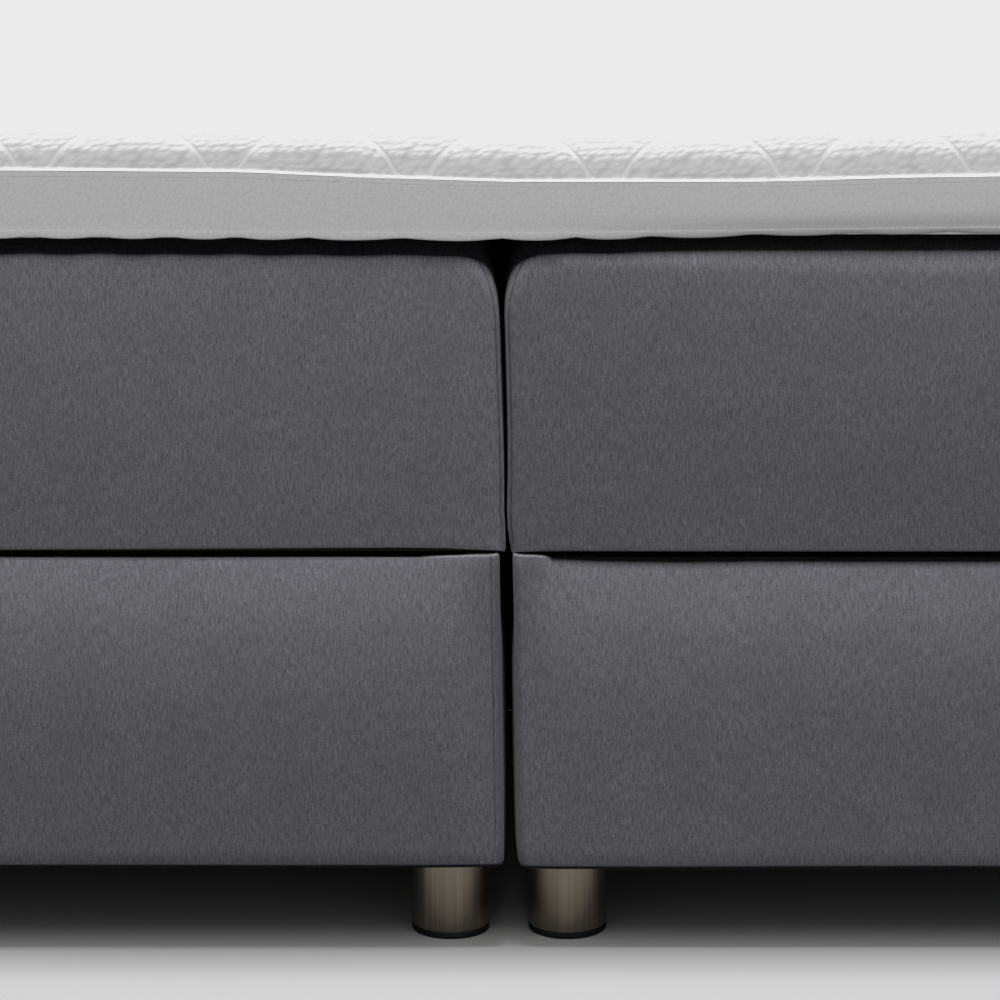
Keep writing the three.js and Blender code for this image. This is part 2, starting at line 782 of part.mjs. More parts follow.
function addTopper(bed) {
  const topper = new THREE.Group();
  topper.position.set(0, 0, topperBottom);
  bed.add(topper);
  place(topper, 'topper_top_panel', topPanelGeometry(), materials.ticking);
  place(topper, 'topper_border', borderGeometry(), materials.borderMesh);
  place(topper, 'topper_upper_piping', pipingGeometry(), materials.ticking);
  place(topper, 'topper_lower_hem', hemGeometry(), materials.ticking);
  place(topper, 'topper_bottom_panel', topperBottomGeometry(), materials.ticking);
  place(topper, 'topper_foam_core', topperCoreGeometry(), materials.foam);
  place(topper, 'topper_zip_tape', zipTapeGeometry(), materials.zipTape);
  place(topper, 'topper_zip_slider', zipSliderGeometry(), materials.zincSteel);
}

// A flat link screwed up into the inner rail of each base
function addPlate(bed, name, end) {
  const radius = plateWidth / 2;
  const straight = plateLength / 2 - radius;
  const shape = new THREE.Shape();
  shape.moveTo(-straight, -radius);
  shape.lineTo(straight, -radius);
  shape.absarc(straight, 0, radius, -Math.PI / 2, Math.PI / 2);
  shape.lineTo(-straight, radius);
  shape.absarc(-straight, 0, radius, Math.PI / 2, Math.PI * 1.5);
  for (const x of [-1, 1].map((side) => side * (plateLength / 2 - plateHoleInset))) {
    for (const y of [-plateHoleSpacing / 2, plateHoleSpacing / 2]) {
      const hole = new THREE.Path();
      hole.absarc(x, y, plateHoleRadius, 0, 2 * Math.PI, true);
      shape.holes.push(hole);
    }
  }
  const options = { depth: plateThickness, bevelEnabled: false, curveSegments: plateSteps };
  const plate = place(bed, name, new THREE.ExtrudeGeometry(shape, options), materials.zincSteel);
  const y = end * (bedLength / 2 - plateFromEnd);
  plate.position.set(0, y, baseBottom - seatGap - plateThickness);
}

const bed = new THREE.Group();
for (const [half, side] of [['left', -1], ['right', 1]]) {
  addBase(bed, `base_${half}`, side);
  addLegs(bed, `base_${half}`, side);
  addMattress(bed, `mattress_${half}`, side);
}
addTopper(bed);
addPlate(bed, 'connector_plate_foot', -1);
addPlate(bed, 'connector_plate_head', 1);

export default bed;
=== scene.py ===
# %% [markdown]
# # A box spring bed for two
# The bed is a stack. Two upholstered spring bases stand on round steel legs, two mattresses lie on
# them, and one quilted topper covers both. The construction comes in as a fixed frame, at its real
# size. This lesson dresses it: each soft part is modelled again with its seams, rolls and folds, and
# every surface gets a finish made of shader nodes. Lengths are metres, and mm turns millimetres
# into metres.

import math

import bmesh
import bpy
import numpy as np
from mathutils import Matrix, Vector, noise


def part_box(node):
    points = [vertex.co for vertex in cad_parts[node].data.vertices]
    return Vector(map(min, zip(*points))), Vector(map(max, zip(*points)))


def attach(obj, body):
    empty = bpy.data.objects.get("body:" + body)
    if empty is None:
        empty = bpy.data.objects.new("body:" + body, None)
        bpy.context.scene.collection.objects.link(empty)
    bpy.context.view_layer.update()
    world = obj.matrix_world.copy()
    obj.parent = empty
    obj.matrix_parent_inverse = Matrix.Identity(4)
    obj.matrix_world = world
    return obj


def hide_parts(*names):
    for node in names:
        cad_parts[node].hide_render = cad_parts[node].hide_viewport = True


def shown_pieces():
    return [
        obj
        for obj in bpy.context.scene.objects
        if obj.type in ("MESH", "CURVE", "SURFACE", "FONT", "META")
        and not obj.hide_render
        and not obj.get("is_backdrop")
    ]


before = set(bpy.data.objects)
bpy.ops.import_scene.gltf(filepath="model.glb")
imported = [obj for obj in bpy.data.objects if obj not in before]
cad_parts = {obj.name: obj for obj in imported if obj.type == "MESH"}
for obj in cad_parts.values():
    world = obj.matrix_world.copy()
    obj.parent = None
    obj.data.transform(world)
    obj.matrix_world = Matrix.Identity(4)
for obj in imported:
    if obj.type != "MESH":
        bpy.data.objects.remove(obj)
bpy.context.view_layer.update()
mm = 0.001

# %% [markdown]
# ## Camera
# A catalogue picture of furniture is taken from far away with a long lens, so upright edges stay
# nearly parallel. The camera could be aimed by eye, but a place, a pitch and a focal length are
# easier to keep. Here they come from the round legs, whose true diameter is known.

# %% Aim the camera
camera_place = Vector((-7 * mm, -5.101, 1.468))
camera_pitch = math.radians(15.18)
focal_pixels = 5666
picture_pixels = 1000
film_width = 36
bpy.ops.object.camera_add(location=camera_place, rotation=(math.pi / 2 - camera_pitch, 0, 0))
camera = bpy.context.object
camera.name = "long_lens"
camera.data.sensor_width = film_width
camera.data.lens = film_width * focal_pixels / picture_pixels
bpy.context.scene.camera = camera
print("Focal length", round(camera.data.lens), "mm")

# %% [markdown]
# ## Helpers for shader nodes
# Node trees are usually wired by hand in the shader editor. In a script, one small function that
# places a node and fills or links its sockets keeps each material short enough to read.

# %% Place and wire one node
def add_node(tree, kind, inputs=None, **settings):
    node = tree.nodes.new(kind)
    for name, value in settings.items():
        setattr(node, name, value)
    for name, value in (inputs or {}).items():
        if isinstance(value, bpy.types.NodeSocket):
            tree.links.new(value, node.inputs[name])
        else:
            node.inputs[name].default_value = value
    return node


def calculate(tree, operation, first, second):
    return add_node(tree, "ShaderNodeMath", {0: first, 1: second}, operation=operation).outputs[0]


def add_shares(tree, *parts):
    """Adds up values, each times its own share."""
    total = calculate(tree, "MULTIPLY", *parts[0])
    for value, share in parts[1:]:
        total = calculate(tree, "ADD", total, calculate(tree, "MULTIPLY", value, share))
    return total


def between(tree, value, low, high, low_result=0.0, high_result=1.0):
    """Turns the range from low to high into the range of the two results."""
    node = add_node(tree, "ShaderNodeMapRange", {
        "Value": value, "From Min": low, "From Max": high,
        "To Min": low_result, "To Max": high_result})
    return node.outputs["Result"]


def blend_colours(tree, share, first, second):
    """Inputs 6 and 7 of a mix node are its two colours, and output 2 is the blend of them."""
    return add_node(tree, "ShaderNodeMix", {0: share, 6: first, 7: second}, data_type="RGBA").outputs[2]


def grey(value):
    return (value, value, value, 1)


# %% Start a material and link its colour, roughness and bumps
def new_material(name, **shader_values):
    material = bpy.data.materials.new(name)
    material["slot"] = name
    material.use_nodes = True
    shader = material.node_tree.nodes["Principled BSDF"]
    for label, value in shader_values.items():
        shader.inputs[label.replace("_", " ")].default_value = value
    return material, material.node_tree


def link_shader(tree, colour, bumps=None, roughness=None):
    """The bumps are a height, a strength and a distance."""
    shader = tree.nodes["Principled BSDF"]
    tree.links.new(colour, shader.inputs["Base Color"])
    if roughness:
        tree.links.new(roughness, shader.inputs["Roughness"])
    if bumps:
        values = dict(zip(("Height", "Strength", "Distance"), bumps))
        bump = add_node(tree, "ShaderNodeBump", values)
        tree.links.new(bump.outputs["Normal"], shader.inputs["Normal"])


# %% [markdown]
# ## Effects that several finishes share
# Yarns, brushing marks and wood grain are all noise that is stretched in one direction. That is one
# node group with its own inputs, so each material only says how fine the streaks are and how long.
# A second group gives the slow unevenness that every real surface has, and a third the small
# rounded bumps of knitted cloth.

# %% Build the shared node groups
def new_group(name, inputs, result):
    """An empty group, its inputs as the sockets inside it, and the socket for its result."""
    group = bpy.data.node_groups.new(name, "ShaderNodeTree")
    for label, value in inputs.items():
        kind = "NodeSocketVector" if isinstance(value, tuple) else "NodeSocketFloat"
        group.interface.new_socket(label, in_out="INPUT", socket_type=kind).default_value = value
    group.interface.new_socket(result, in_out="OUTPUT", socket_type="NodeSocketFloat")
    return group, group.nodes.new("NodeGroupInput").outputs, group.nodes.new("NodeGroupOutput").inputs[0]


def stretch(tree, vector, density):
    return add_node(tree, "ShaderNodeVectorMath", {0: vector, 1: density}, operation="MULTIPLY").outputs[0]


streak_group, given, result = new_group(
    "stretched_streaks",
    {"Vector": (0, 0, 0), "Density": (900, 40, 1), "Detail": 2, "Warp": 0}, "Streaks")
streak_noise = add_node(streak_group, "ShaderNodeTexNoise", {
    "Vector": stretch(streak_group, given["Vector"], given["Density"]),
    "Scale": 1, "Detail": given["Detail"], "Distortion": given["Warp"]})
streak_group.links.new(streak_noise.outputs["Fac"], result)

mottle_group, given, result = new_group(
    "slow_unevenness", {"Vector": (0, 0, 0), "Density": 6}, "Unevenness")
mottle_noise = add_node(mottle_group, "ShaderNodeTexNoise", {
    "Vector": given["Vector"], "Scale": given["Density"], "Detail": 3, "Roughness": 0.6})
mottle_group.links.new(mottle_noise.outputs["Fac"], result)

knit_group, given, result = new_group(
    "knitted_bumps",
    {"Vector": (0, 0, 0), "Density": (150, 230, 1), "Slant": 0.6, "Order": 0.45}, "Bumps")
place = add_node(knit_group, "ShaderNodeSeparateXYZ", {"Vector": given["Vector"]}).outputs
slanted = calculate(knit_group, "MULTIPLY", place["Y"], given["Slant"])
across = calculate(knit_group, "SUBTRACT", place["X"], slanted)
sheared = add_node(knit_group, "ShaderNodeCombineXYZ", {"X": across, "Y": place["Y"]}).outputs[0]
loops = add_node(
    knit_group, "ShaderNodeTexVoronoi",
    {"Vector": stretch(knit_group, sheared, given["Density"]),
     "Scale": 1, "Randomness": given["Order"], "Smoothness": 0.6},
    feature="SMOOTH_F1", voronoi_dimensions="2D")
raised = calculate(knit_group, "SUBTRACT", 1.0, loops.outputs["Distance"])
knit_group.links.new(raised, result)
print("Node groups:", [group.name for group in bpy.data.node_groups])


# %% Helpers that place a group in a material
def cloth_map(tree):
    return add_node(tree, "ShaderNodeUVMap", uv_map="cloth").outputs["UV"]


def object_map(tree):
    return add_node(tree, "ShaderNodeTexCoord").outputs["Object"]


def place_group(tree, group, **inputs):
    return add_node(tree, "ShaderNodeGroup", inputs, node_tree=group).outputs[0]


def streaks(tree, vector, density, detail=2, warp=0):
    return place_group(tree, streak_group, Vector=vector, Density=density, Detail=detail, Warp=warp)


def unevenness(tree, vector, density):
    return place_group(tree, mottle_group, Vector=vector, Density=density)


def knit(tree, vector, density, slant, order):
    return place_group(tree, knit_group, Vector=vector, Density=density, Slant=slant, Order=order)


# %% [markdown]
# ## Upholstery fabric
# The cover is a melange weave: yarns of slightly different greys run upwards, here and there a
# thicker and lighter slub shows, and finer threads cross them. A photo texture would tile and show
# its repeats, so three sets of streaks are mixed instead. They lie on a flat UV map in metres, as
# the cloth was cut, so a yarn stays a millimetre wide on every side of the bed.

# %% Make the upholstery fabric
def dyed(value):
    return (value * 1.015, value, value * 1.125, 1)


def make_upholstery(name, painted_shade_tone):
    material, tree = new_material(
        name, Roughness=0.9, Sheen_Weight=0.08, Sheen_Roughness=0.45, Specular_IOR_Level=0.3)
    material["slot"] = "upholstery_fabric"
    cloth = cloth_map(tree)
    upright_yarns = streaks(tree, cloth, (820, 120, 1), 3, 0.5)
    fine_yarns = streaks(tree, cloth, (1500, 330, 1), 1)
    crossing_yarns = streaks(tree, cloth, (210, 1250, 1), 2)
    weave = add_shares(tree, (upright_yarns, 0.46), (fine_yarns, 0.28), (crossing_yarns, 0.26))
    colour = blend_colours(tree, between(tree, weave, 0.37, 0.63), dyed(0.092 * painted_shade_tone), dyed(0.222 * painted_shade_tone))
    slubs = between(tree, streaks(tree, cloth, (700, 150, 1), 1, 0.6), 0.6, 0.76)
    slub_share = calculate(tree, "MULTIPLY", slubs, 0.4)
    colour = blend_colours(tree, slub_share, colour, dyed(0.31 * painted_shade_tone))
    patch_share = between(tree, unevenness(tree, cloth, 26), 0.35, 0.65, 0.0, 0.24)
    colour = blend_colours(tree, patch_share, colour, dyed(0.11 * painted_shade_tone))
    link_shader(tree, colour, (weave, 0.4, 0.5 * mm), between(tree, weave, 0.3, 0.7, 0.95, 0.85))
    return material


# Base and mattresses are one fabric: the mattresses' darker colours, 0.93 and 0.84 of the base's, are
# painted shade
base_fabric = make_upholstery("upholstery_base", 1.0)
shaded_mattress_fabric = {
    "left": make_upholstery("upholstery_left_painted_shade", 0.93),
    "right": make_upholstery("upholstery_right_painted_shade", 0.84),
}

# %% [markdown]
# ## Ticking and border cloth
# The topper is covered in a white double jersey. Its face has small slanted bumps, and each bump is
# the loop of a padded knit. The pits between the bumps are painted darker, as shade. The stitched
# lines lie flat, because the thread pulls them down. The border is a spacer mesh: two thin knits held
# apart by threads, with tiny holes in rows.

# %% Make the white cloths
ticking, tree = new_material("quilted_ticking", Roughness=0.82, Sheen_Weight=0.2)
cloth = cloth_map(tree)
bumps = knit(tree, cloth, (125, 190, 1), 0.9, 0.6)
threads = streaks(tree, cloth, (1100, 700, 1), 1)
stitch = add_node(tree, "ShaderNodeAttribute", attribute_name="stitch_distance").outputs["Fac"]
away_from_stitch = between(tree, stitch, 0.5 * mm, 2.6 * mm)
height = add_shares(tree, (bumps, away_from_stitch), (threads, 0.12))
# Lighter loops and darker pits: the darker pits are painted shade
jersey = blend_colours(tree, between(tree, bumps, 0.25, 0.75), grey(0.71), grey(0.90))
colour = blend_colours(tree, away_from_stitch, grey(0.96), jersey)
link_shader(tree, colour, (height, 0.85, 1.6 * mm))

border_mesh, tree = new_material("border_mesh", Roughness=0.85, Sheen_Weight=0.1)
cloth = cloth_map(tree)
holes = knit(tree, cloth, (330, 300, 1), 0.5, 0.75)
speckle = unevenness(tree, cloth, 420)
hairs = streaks(tree, cloth, (700, 90, 1), 2)
share = between(tree, calculate(tree, "ADD", holes, speckle), 0.75, 1.45)
colour = blend_colours(tree, share, grey(0.62), grey(0.71))
colour = blend_colours(tree, between(tree, hairs, 0.4, 0.8, 0.0, 0.3), colour, grey(0.76))
link_shader(tree, colour, (calculate(tree, "ADD", holes, hairs), 0.12, 0.5 * mm))

piping_cloth, tree = new_material("piping_cord", Roughness=0.6, Sheen_Weight=0.1)
ribs = streaks(tree, object_map(tree), (900, 900, 900), 1)
link_shader(tree, blend_colours(tree, ribs, grey(0.84), grey(0.95)), (ribs, 0.3, 0.3 * mm))

# %% [markdown]
# ## Cloth, foam and timber inside and below
# A black non-woven cloth covers the base and its underside. Foam is full of fine pores, and the
# spring pockets are a white fleece with pressed dots. The frame is planed pine, whose grain runs
# along each board, so two finishes differ only in the direction of their streaks.

# %% Make the inner finishes
black_cloth, tree = new_material("black_cloth", Roughness=0.95)
fibres = streaks(tree, object_map(tree), (500, 500, 500), 4, 1.5)
link_shader(tree, blend_colours(tree, fibres, grey(0.004), grey(0.013)), (fibres, 0.3, 0.4 * mm))

foam, tree = new_material("foam", Roughness=0.95, Subsurface_Weight=0.05)
pores = knit(tree, object_map(tree), (420, 420, 420), 0, 1)
shade = unevenness(tree, object_map(tree), 14)
cream = blend_colours(tree, shade, (0.80, 0.74, 0.58, 1), (0.86, 0.82, 0.68, 1))
colour = blend_colours(tree, between(tree, pores, 0.2, 0.8), (0.62, 0.56, 0.42, 1), cream)
link_shader(tree, colour, (pores, 0.4, 0.8 * mm))

fleece, tree = new_material("pocket_fleece", Roughness=0.9, Sheen_Weight=0.2)
dots = knit(tree, object_map(tree), (300, 300, 300), 0, 0.1)
felt = streaks(tree, object_map(tree), (160, 160, 160), 4, 1)
link_shader(tree, blend_colours(tree, felt, grey(0.72), grey(0.9)), (dots, 0.35, 0.5 * mm))


def make_pine(name, density):
    material, tree = new_material(name, Roughness=0.62)
    place = object_map(tree)
    grain = streaks(tree, place, density, 5, 0.8)
    fine = streaks(tree, place, tuple(part * 5 for part in density), 2)
    rings = between(tree, grain, 0.42, 0.58)
    wood = blend_colours(tree, rings, (0.62, 0.42, 0.22, 1), (0.78, 0.60, 0.38, 1))
    fine_share = calculate(tree, "MULTIPLY", fine, 0.35)
    colour = blend_colours(tree, fine_share, wood, (0.50, 0.32, 0.16, 1))
    link_shader(tree, colour, (grain, 0.15, 0.5 * mm), between(tree, fine, 0.3, 0.7, 0.55, 0.72))
    return material


pine_along = make_pine("pine_along", (55, 1.6, 40))
pine_across = make_pine("pine_across", (1.6, 55, 40))

# %% [markdown]
# ## Metal and plastic
# The legs are brushed steel with a warm nickel plating. Brushing up and down leaves fine upright
# streaks. Broader upright stripes, lighter and darker in the plating's colour, are a painted
# reflection: they paint the bright and dark lines that a highlight breaks into round the tube. The
# same streak group makes both, stretched along the height. The plates are zinc plated, and the
# glides are moulded black plastic with a fine grain.

# %% Make the hard finishes
bronzed_steel, tree = new_material("bronzed_steel", Metallic=1.0, Roughness=0.36, Anisotropic=0.4)
place = object_map(tree)
brushing = streaks(tree, place, (420, 420, 3), 4, 0.2)
# Broad upright stripes in the colour: a painted reflection round the tube
painted_reflection_bands = streaks(tree, place, (90, 90, 1.2), 2)
share = between(tree, add_shares(tree, (brushing, 0.6), (painted_reflection_bands, 0.4)), 0.3, 0.7)
plated = blend_colours(tree, share, (0.15, 0.127, 0.098, 1), (0.28, 0.244, 0.198, 1))
patina_share = calculate(tree, "MULTIPLY", unevenness(tree, place, 40), 0.4)
colour = blend_colours(tree, patina_share, plated, (0.17, 0.14, 0.108, 1))
link_shader(tree, colour, (brushing, 0.06, 0.1 * mm), between(tree, brushing, 0.3, 0.7, 0.28, 0.4))

zinc_steel, tree = new_material("zinc_steel", Metallic=1.0, Roughness=0.4)
flakes = unevenness(tree, object_map(tree), 130)
colour = blend_colours(tree, flakes, (0.50, 0.52, 0.54, 1), (0.74, 0.75, 0.76, 1))
link_shader(tree, colour, roughness=between(tree, flakes, 0.3, 0.7, 0.32, 0.5))

black_plastic, tree = new_material("black_plastic", Roughness=0.55, Specular_IOR_Level=0.2)
grain = unevenness(tree, object_map(tree), 900)
dust = between(tree, unevenness(tree, object_map(tree), 60), 0.5, 0.8, 0.0, 0.35)
link_shader(tree, blend_colours(tree, dust, grey(0.006), grey(0.02)), (grain, 0.2, 0.1 * mm))

zip_cloth, tree = new_material("zip_tape", Roughness=0.8)
ribs = streaks(tree, object_map(tree), (1600, 200, 200), 1)
link_shader(tree, blend_colours(tree, ribs, grey(0.62), grey(0.78)), (ribs, 0.4, 0.3 * mm))
print("Finishes:", len(bpy.data.materials))

# %% [markdown]
# ## Helpers for modelling
# Most parts of the bed start as a box of the right size. Edges are rounded with the bevel tool, and
# planes that slice the box give the cloth enough points to be shaped. Every operator works on what
# is selected, so each helper first deselects everything and then picks edges or faces by place.

# %% Add a block
all_axes = (Vector((1, 0, 0)), Vector((0, 1, 0)), Vector((0, 0, 1)))
tiny = 0.01 * mm

# A face looks one way when more than this share of its normal points there
straight_on = 0.9


def activate(piece):
    bpy.ops.object.select_all(action="DESELECT")
    piece.select_set(True)
    bpy.context.view_layer.objects.active = piece


def take_new(name, scale=(1, 1, 1)):
    """Names the object that was just added, and makes its place and scale part of its mesh."""
    piece = bpy.context.object
    piece.name = name
    piece.scale = scale
    bpy.ops.object.transform_apply(location=True, rotation=True, scale=True)
    return piece


def add_block(name, low, high):
    bpy.ops.object.select_all(action="DESELECT")
    bpy.ops.mesh.primitive_cube_add(size=1, location=(Vector(low) + Vector(high)) / 2)
    return take_new(name, Vector(high) - Vector(low))


# %% Pick edges or faces
def enter_edit(piece, kind):
    activate(piece)
    bpy.ops.object.mode_set(mode="EDIT")
    bpy.ops.mesh.select_mode(type=kind)
    bpy.ops.mesh.select_all(action="DESELECT")


def leave_edit():
    bpy.ops.object.mode_set(mode="OBJECT")


def edit_edges(piece, wanted):
    """Enters edit mode with the edges whose two ends are as wanted."""
    enter_edit(piece, "EDGE")
    cage = bmesh.from_edit_mesh(piece.data)
    for edge in cage.edges:
        if wanted(edge.verts[0].co, edge.verts[1].co):
            edge.select_set(True)
    bmesh.update_edit_mesh(piece.data)


def pick_faces(piece, wanted):
    bpy.ops.mesh.select_all(action="DESELECT")
    cage = bmesh.from_edit_mesh(piece.data)
    for face in cage.faces:
        if wanted(face.calc_center_median(), face.normal):
            face.select_set(True)
    bmesh.update_edit_mesh(piece.data)


def edit_faces(piece, wanted):
    """Enters edit mode with the faces whose middle and direction are as wanted."""
    enter_edit(piece, "FACE")
    pick_faces(piece, wanted)


# %% Round, slice and delete
def round_edges(piece, wanted, width, steps):
    edit_edges(piece, wanted)
    bpy.ops.mesh.bevel(offset=width, segments=steps, profile=0.5, affect="EDGES")
    leave_edit()


def round_uprights(piece, width, steps):
    round_edges(piece, lambda a, b: abs(a.z - b.z) > tiny, width, steps)


def round_rim(piece, z, width, steps):
    round_edges(piece, lambda a, b: abs(a.z - z) < tiny and abs(b.z - z) < tiny, width, steps)


def even_places(low, high, pitch):
    count = max(1, round((high - low) / pitch))
    return [low + (high - low) * step / count for step in range(count + 1)]


def slice_across(piece, axis, places, wanted=None):
    enter_edit(piece, "FACE")
    for place in places:
        if wanted:
            pick_faces(piece, wanted)
        else:
            bpy.ops.mesh.select_all(action="SELECT")
        bpy.ops.mesh.bisect(plane_co=all_axes[axis] * place, plane_no=all_axes[axis])
    leave_edit()


slice_margin = 50 * mm


def slice_evenly(piece, low, high, pitch):
    """Even columns and rows of points, which keep clear of the rounded corners."""
    slice_across(piece, 0, even_places(low.x + slice_margin, high.x - slice_margin, pitch))
    slice_across(piece, 1, even_places(low.y + slice_margin, high.y - slice_margin, pitch))


def merge_close(piece, distance=0.05 * mm):
    edit_edges(piece, lambda a, b: True)
    bpy.ops.mesh.remove_doubles(threshold=distance)
    leave_edit()


def delete_faces(piece, wanted):
    edit_faces(piece, wanted)
    bpy.ops.mesh.delete(type="FACE")
    leave_edit()


# %% Read and write a mesh in one go
def read_values(items, name, width=1, kind=np.float32):
    values = np.empty(len(items) * width, kind)
    items.foreach_get(name, values)
    return values.reshape(-1, width) if width > 1 else values


def read_points(piece):
    return read_values(piece.data.vertices, "co", 3, float)


def write_points(piece, points):
    piece.data.vertices.foreach_set("co", points.ravel())
    piece.data.update()


def read_normals(piece):
    return read_values(piece.data.vertices, "normal", 3)


def read_faces(piece):
    """The middle of each face and the direction it faces."""
    polygons = piece.data.polygons
    return read_values(polygons, "center", 3), read_values(polygons, "normal", 3)


# %% Mark faces and work on one mark
def mark_faces(piece, label, marks):
    if label not in piece.data.attributes:
        piece.data.attributes.new(label, "INT", "FACE")
    piece.data.attributes[label].data.foreach_set("value", np.asarray(marks, np.int32))


def edit_marked(piece, label, mark):
    """Enters edit mode with only the faces of one mark selected."""
    activate(piece)
    mesh = piece.data
    marks = read_values(mesh.attributes[label].data, "value", 1, np.int32)
    bpy.context.tool_settings.mesh_select_mode = (False, False, True)
    mesh.polygons.foreach_set("select", marks == mark)
    mesh.edges.foreach_set("select", np.zeros(len(mesh.edges), bool))
    mesh.vertices.foreach_set("select", np.zeros(len(mesh.vertices), bool))
    bpy.ops.object.mode_set(mode="EDIT")


def separate_selected(piece, name):
    bpy.ops.mesh.separate(type="SELECTED")
    leave_edit()
    other = next(found for found in bpy.context.selected_objects if found != piece)
    other.name = name
    return other


# %% Ease, drift and thicken
def ease(value):
    share = np.clip(value, 0, 1)
    return share * share * (3 - 2 * share)


def drift(points, density, seed):
    """Smooth random unevenness from -1 to 1 at each point."""
    shift = Vector((seed * 7.3, seed * 3.1, seed * 5.7))
    return np.array([noise.noise(Vector(point) * density + shift) for point in points])


def apply_modifiers(piece):
    activate(piece)
    for modifier in list(piece.modifiers):
        bpy.ops.object.modifier_apply(modifier=modifier.name)


def thicken(piece, thickness):
    solid = piece.modifiers.new("wall", "SOLIDIFY")
    solid.thickness = thickness
    solid.offset = -1
    apply_modifiers(piece)


# %% Lay the cloth map and finish a piece
def write_cloth_map(piece, places):
    """Stores where each corner of each face lies on the flat cloth, in metres."""
    layer = piece.data.uv_layers.active or piece.data.uv_layers.new()
    layer.name = "cloth"
    layer.data.foreach_set("uv", places.astype(np.float32).ravel())


def lay_cloth(piece):
    """A cloth map for each side of the piece, seen straight on, as the cloth was cut."""
    mesh = piece.data
    facing = np.abs(read_values(mesh.polygons, "normal", 3)).argmax(axis=1)
    facing = np.repeat(facing, read_values(mesh.polygons, "loop_total", 1, np.int32))
    points = read_points(piece)[read_values(mesh.loops, "vertex_index", 1, np.int32)]
    across = np.where(facing == 0, points[:, 1], points[:, 0])
    along = np.where(facing == 2, points[:, 1], points[:, 2])
    write_cloth_map(piece, np.stack([across, along], axis=1))


def finish_piece(piece, material, body, nodes, smooth_angle=35):
    activate(piece)
    bpy.ops.object.shade_smooth_by_angle(angle=math.radians(smooth_angle))
    piece.data.materials.clear()
    piece.data.materials.append(material)
    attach(piece, body)
    if nodes:
        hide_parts(*nodes)
    print(piece.name, len(piece.data.polygons), "faces")


# %% [markdown]
# ## Spring base covers
# Each base wears a sleeve of upholstery that is pulled over the foam, turned in under the frame and
# stapled. Black cloth closes the top, because the mattress hides it, and away from the gap it reaches
# over the upper half of the rounded rim, where its black paints the shade under the mattress. The
# foam lets the upper edge roll inwards a little. One box makes both: rounded, sliced where the seams
# and folds are, shaped, and then split at the upper seam.

# %% Sizes of the seams and rows of a base cover
halves = (("left", -1), ("right", 1))
base_corner = 9 * mm
base_top_round = 2 * mm
base_bottom_round = 4 * mm
base_lip = 30 * mm
lip_columns = [12 * mm, 17 * mm, 23 * mm, base_lip]
upright_seam = 6.5 * mm
seam_width = 0.7 * mm
seam_depth = 1.1 * mm
shoulder_height = 62 * mm
shoulder_pitch = 6 * mm
row_pitch = 30 * mm
lowest_row = 15 * mm
highest_row = 10 * mm
column_margin = 60 * mm
column_pitch = 45 * mm
side_pitch = 60 * mm
cloth_corner = 60 * mm
# Away from the gap, black cloth on faces that face up more than this share paints shade on the upper rim
rim_shade_share = 0.7
flat_share = 0.99
seam_clearance = 0.1 * mm


# %% Cut the block of a base cover
def cut_base_cover(half, low, high, centre_x, half_width):
    cover = add_block(f"base_{half}_sleeve_cloth", low, high)
    round_uprights(cover, base_corner, 4)
    round_rim(cover, high.z, base_top_round, 4)
    round_rim(cover, low.z, base_bottom_round, 3)
    insets = [upright_seam - seam_width, upright_seam, upright_seam + seam_width] + lip_columns
    columns = even_places(-half_width + column_margin, half_width - column_margin, column_pitch)
    columns += [end * (half_width - inset) for end in (-1, 1) for inset in insets]
    slice_across(cover, 0, [centre_x + column for column in columns])
    slice_across(cover, 1, even_places(low.y + base_lip, high.y - base_lip, side_pitch))
    rows = even_places(low.z + lowest_row, high.z - shoulder_height, row_pitch)
    rows += even_places(high.z - shoulder_height, high.z - highest_row, shoulder_pitch)[1:]
    slice_across(cover, 2, rows)
    merge_close(cover)
    in_lip = base_lip + tiny
    delete_faces(cover, lambda centre, normal: (
        centre.z < low.z + tiny
        and abs(centre.x - centre_x) < half_width - in_lip
        and abs(centre.y) < high.y - in_lip))
    return cover


def mark_top_cloth(cover, side, high_z, centre_x, half_width):
    """The black cloth covers the top and the upper half of the rim's rounding, where its black paints
    the shade under the mattress. Near the gap it covers only where the top is quite flat.
    """
    seam_z = high_z - base_top_round * (1 - math.sin(math.pi / 4)) - seam_clearance
    centres, facing = read_faces(cover)
    from_gap = half_width + (centres[:, 0] - centre_x) * side
    least_share = np.where(from_gap < cloth_corner, flat_share, rim_shade_share)
    mark_faces(cover, "on_top", (centres[:, 2] > seam_z) & (facing[:, 2] > least_share))


# %% [markdown]
# ## The shape of a base cover
# Under the mattress the foam has settled: the upper edge is drawn in and down, except at the sewn
# corners. The sides belly out a little, the lower edge hangs below the frame, and the two bases
# press together where they meet. Pushing points outwards along their normals gives all of this.

# %% Sizes of the base's bellies, shoulders and folds
belly_height = 136 * mm
side_belly = 2 * mm
end_belly = {"left": 4.5 * mm, "right": 2 * mm}
shoulder_inset = {"left": 8.3 * mm, "right": 11.2 * mm}
shoulder_drop = {"left": 4.4 * mm, "right": 5.2 * mm}
corner_drop_share = 0.25
settled_from = 12 * mm
settling_reach = {"left": 36 * mm, "right": 22 * mm}
bottom_out = 1.5 * mm
pressed_together = 4.9 * mm
hanging = {"left": 3.4 * mm, "right": 4.8 * mm}
hanging_reach = 30 * mm
rim_reach = 45 * mm
rim_lead = 1.2
pucker_drop = 12 * mm
pucker_reach = 50 * mm
pucker_depth = 1.3 * mm
wave_depth = 0.8 * mm
ripple_depth = 0.3 * mm
level_limit = 0.3

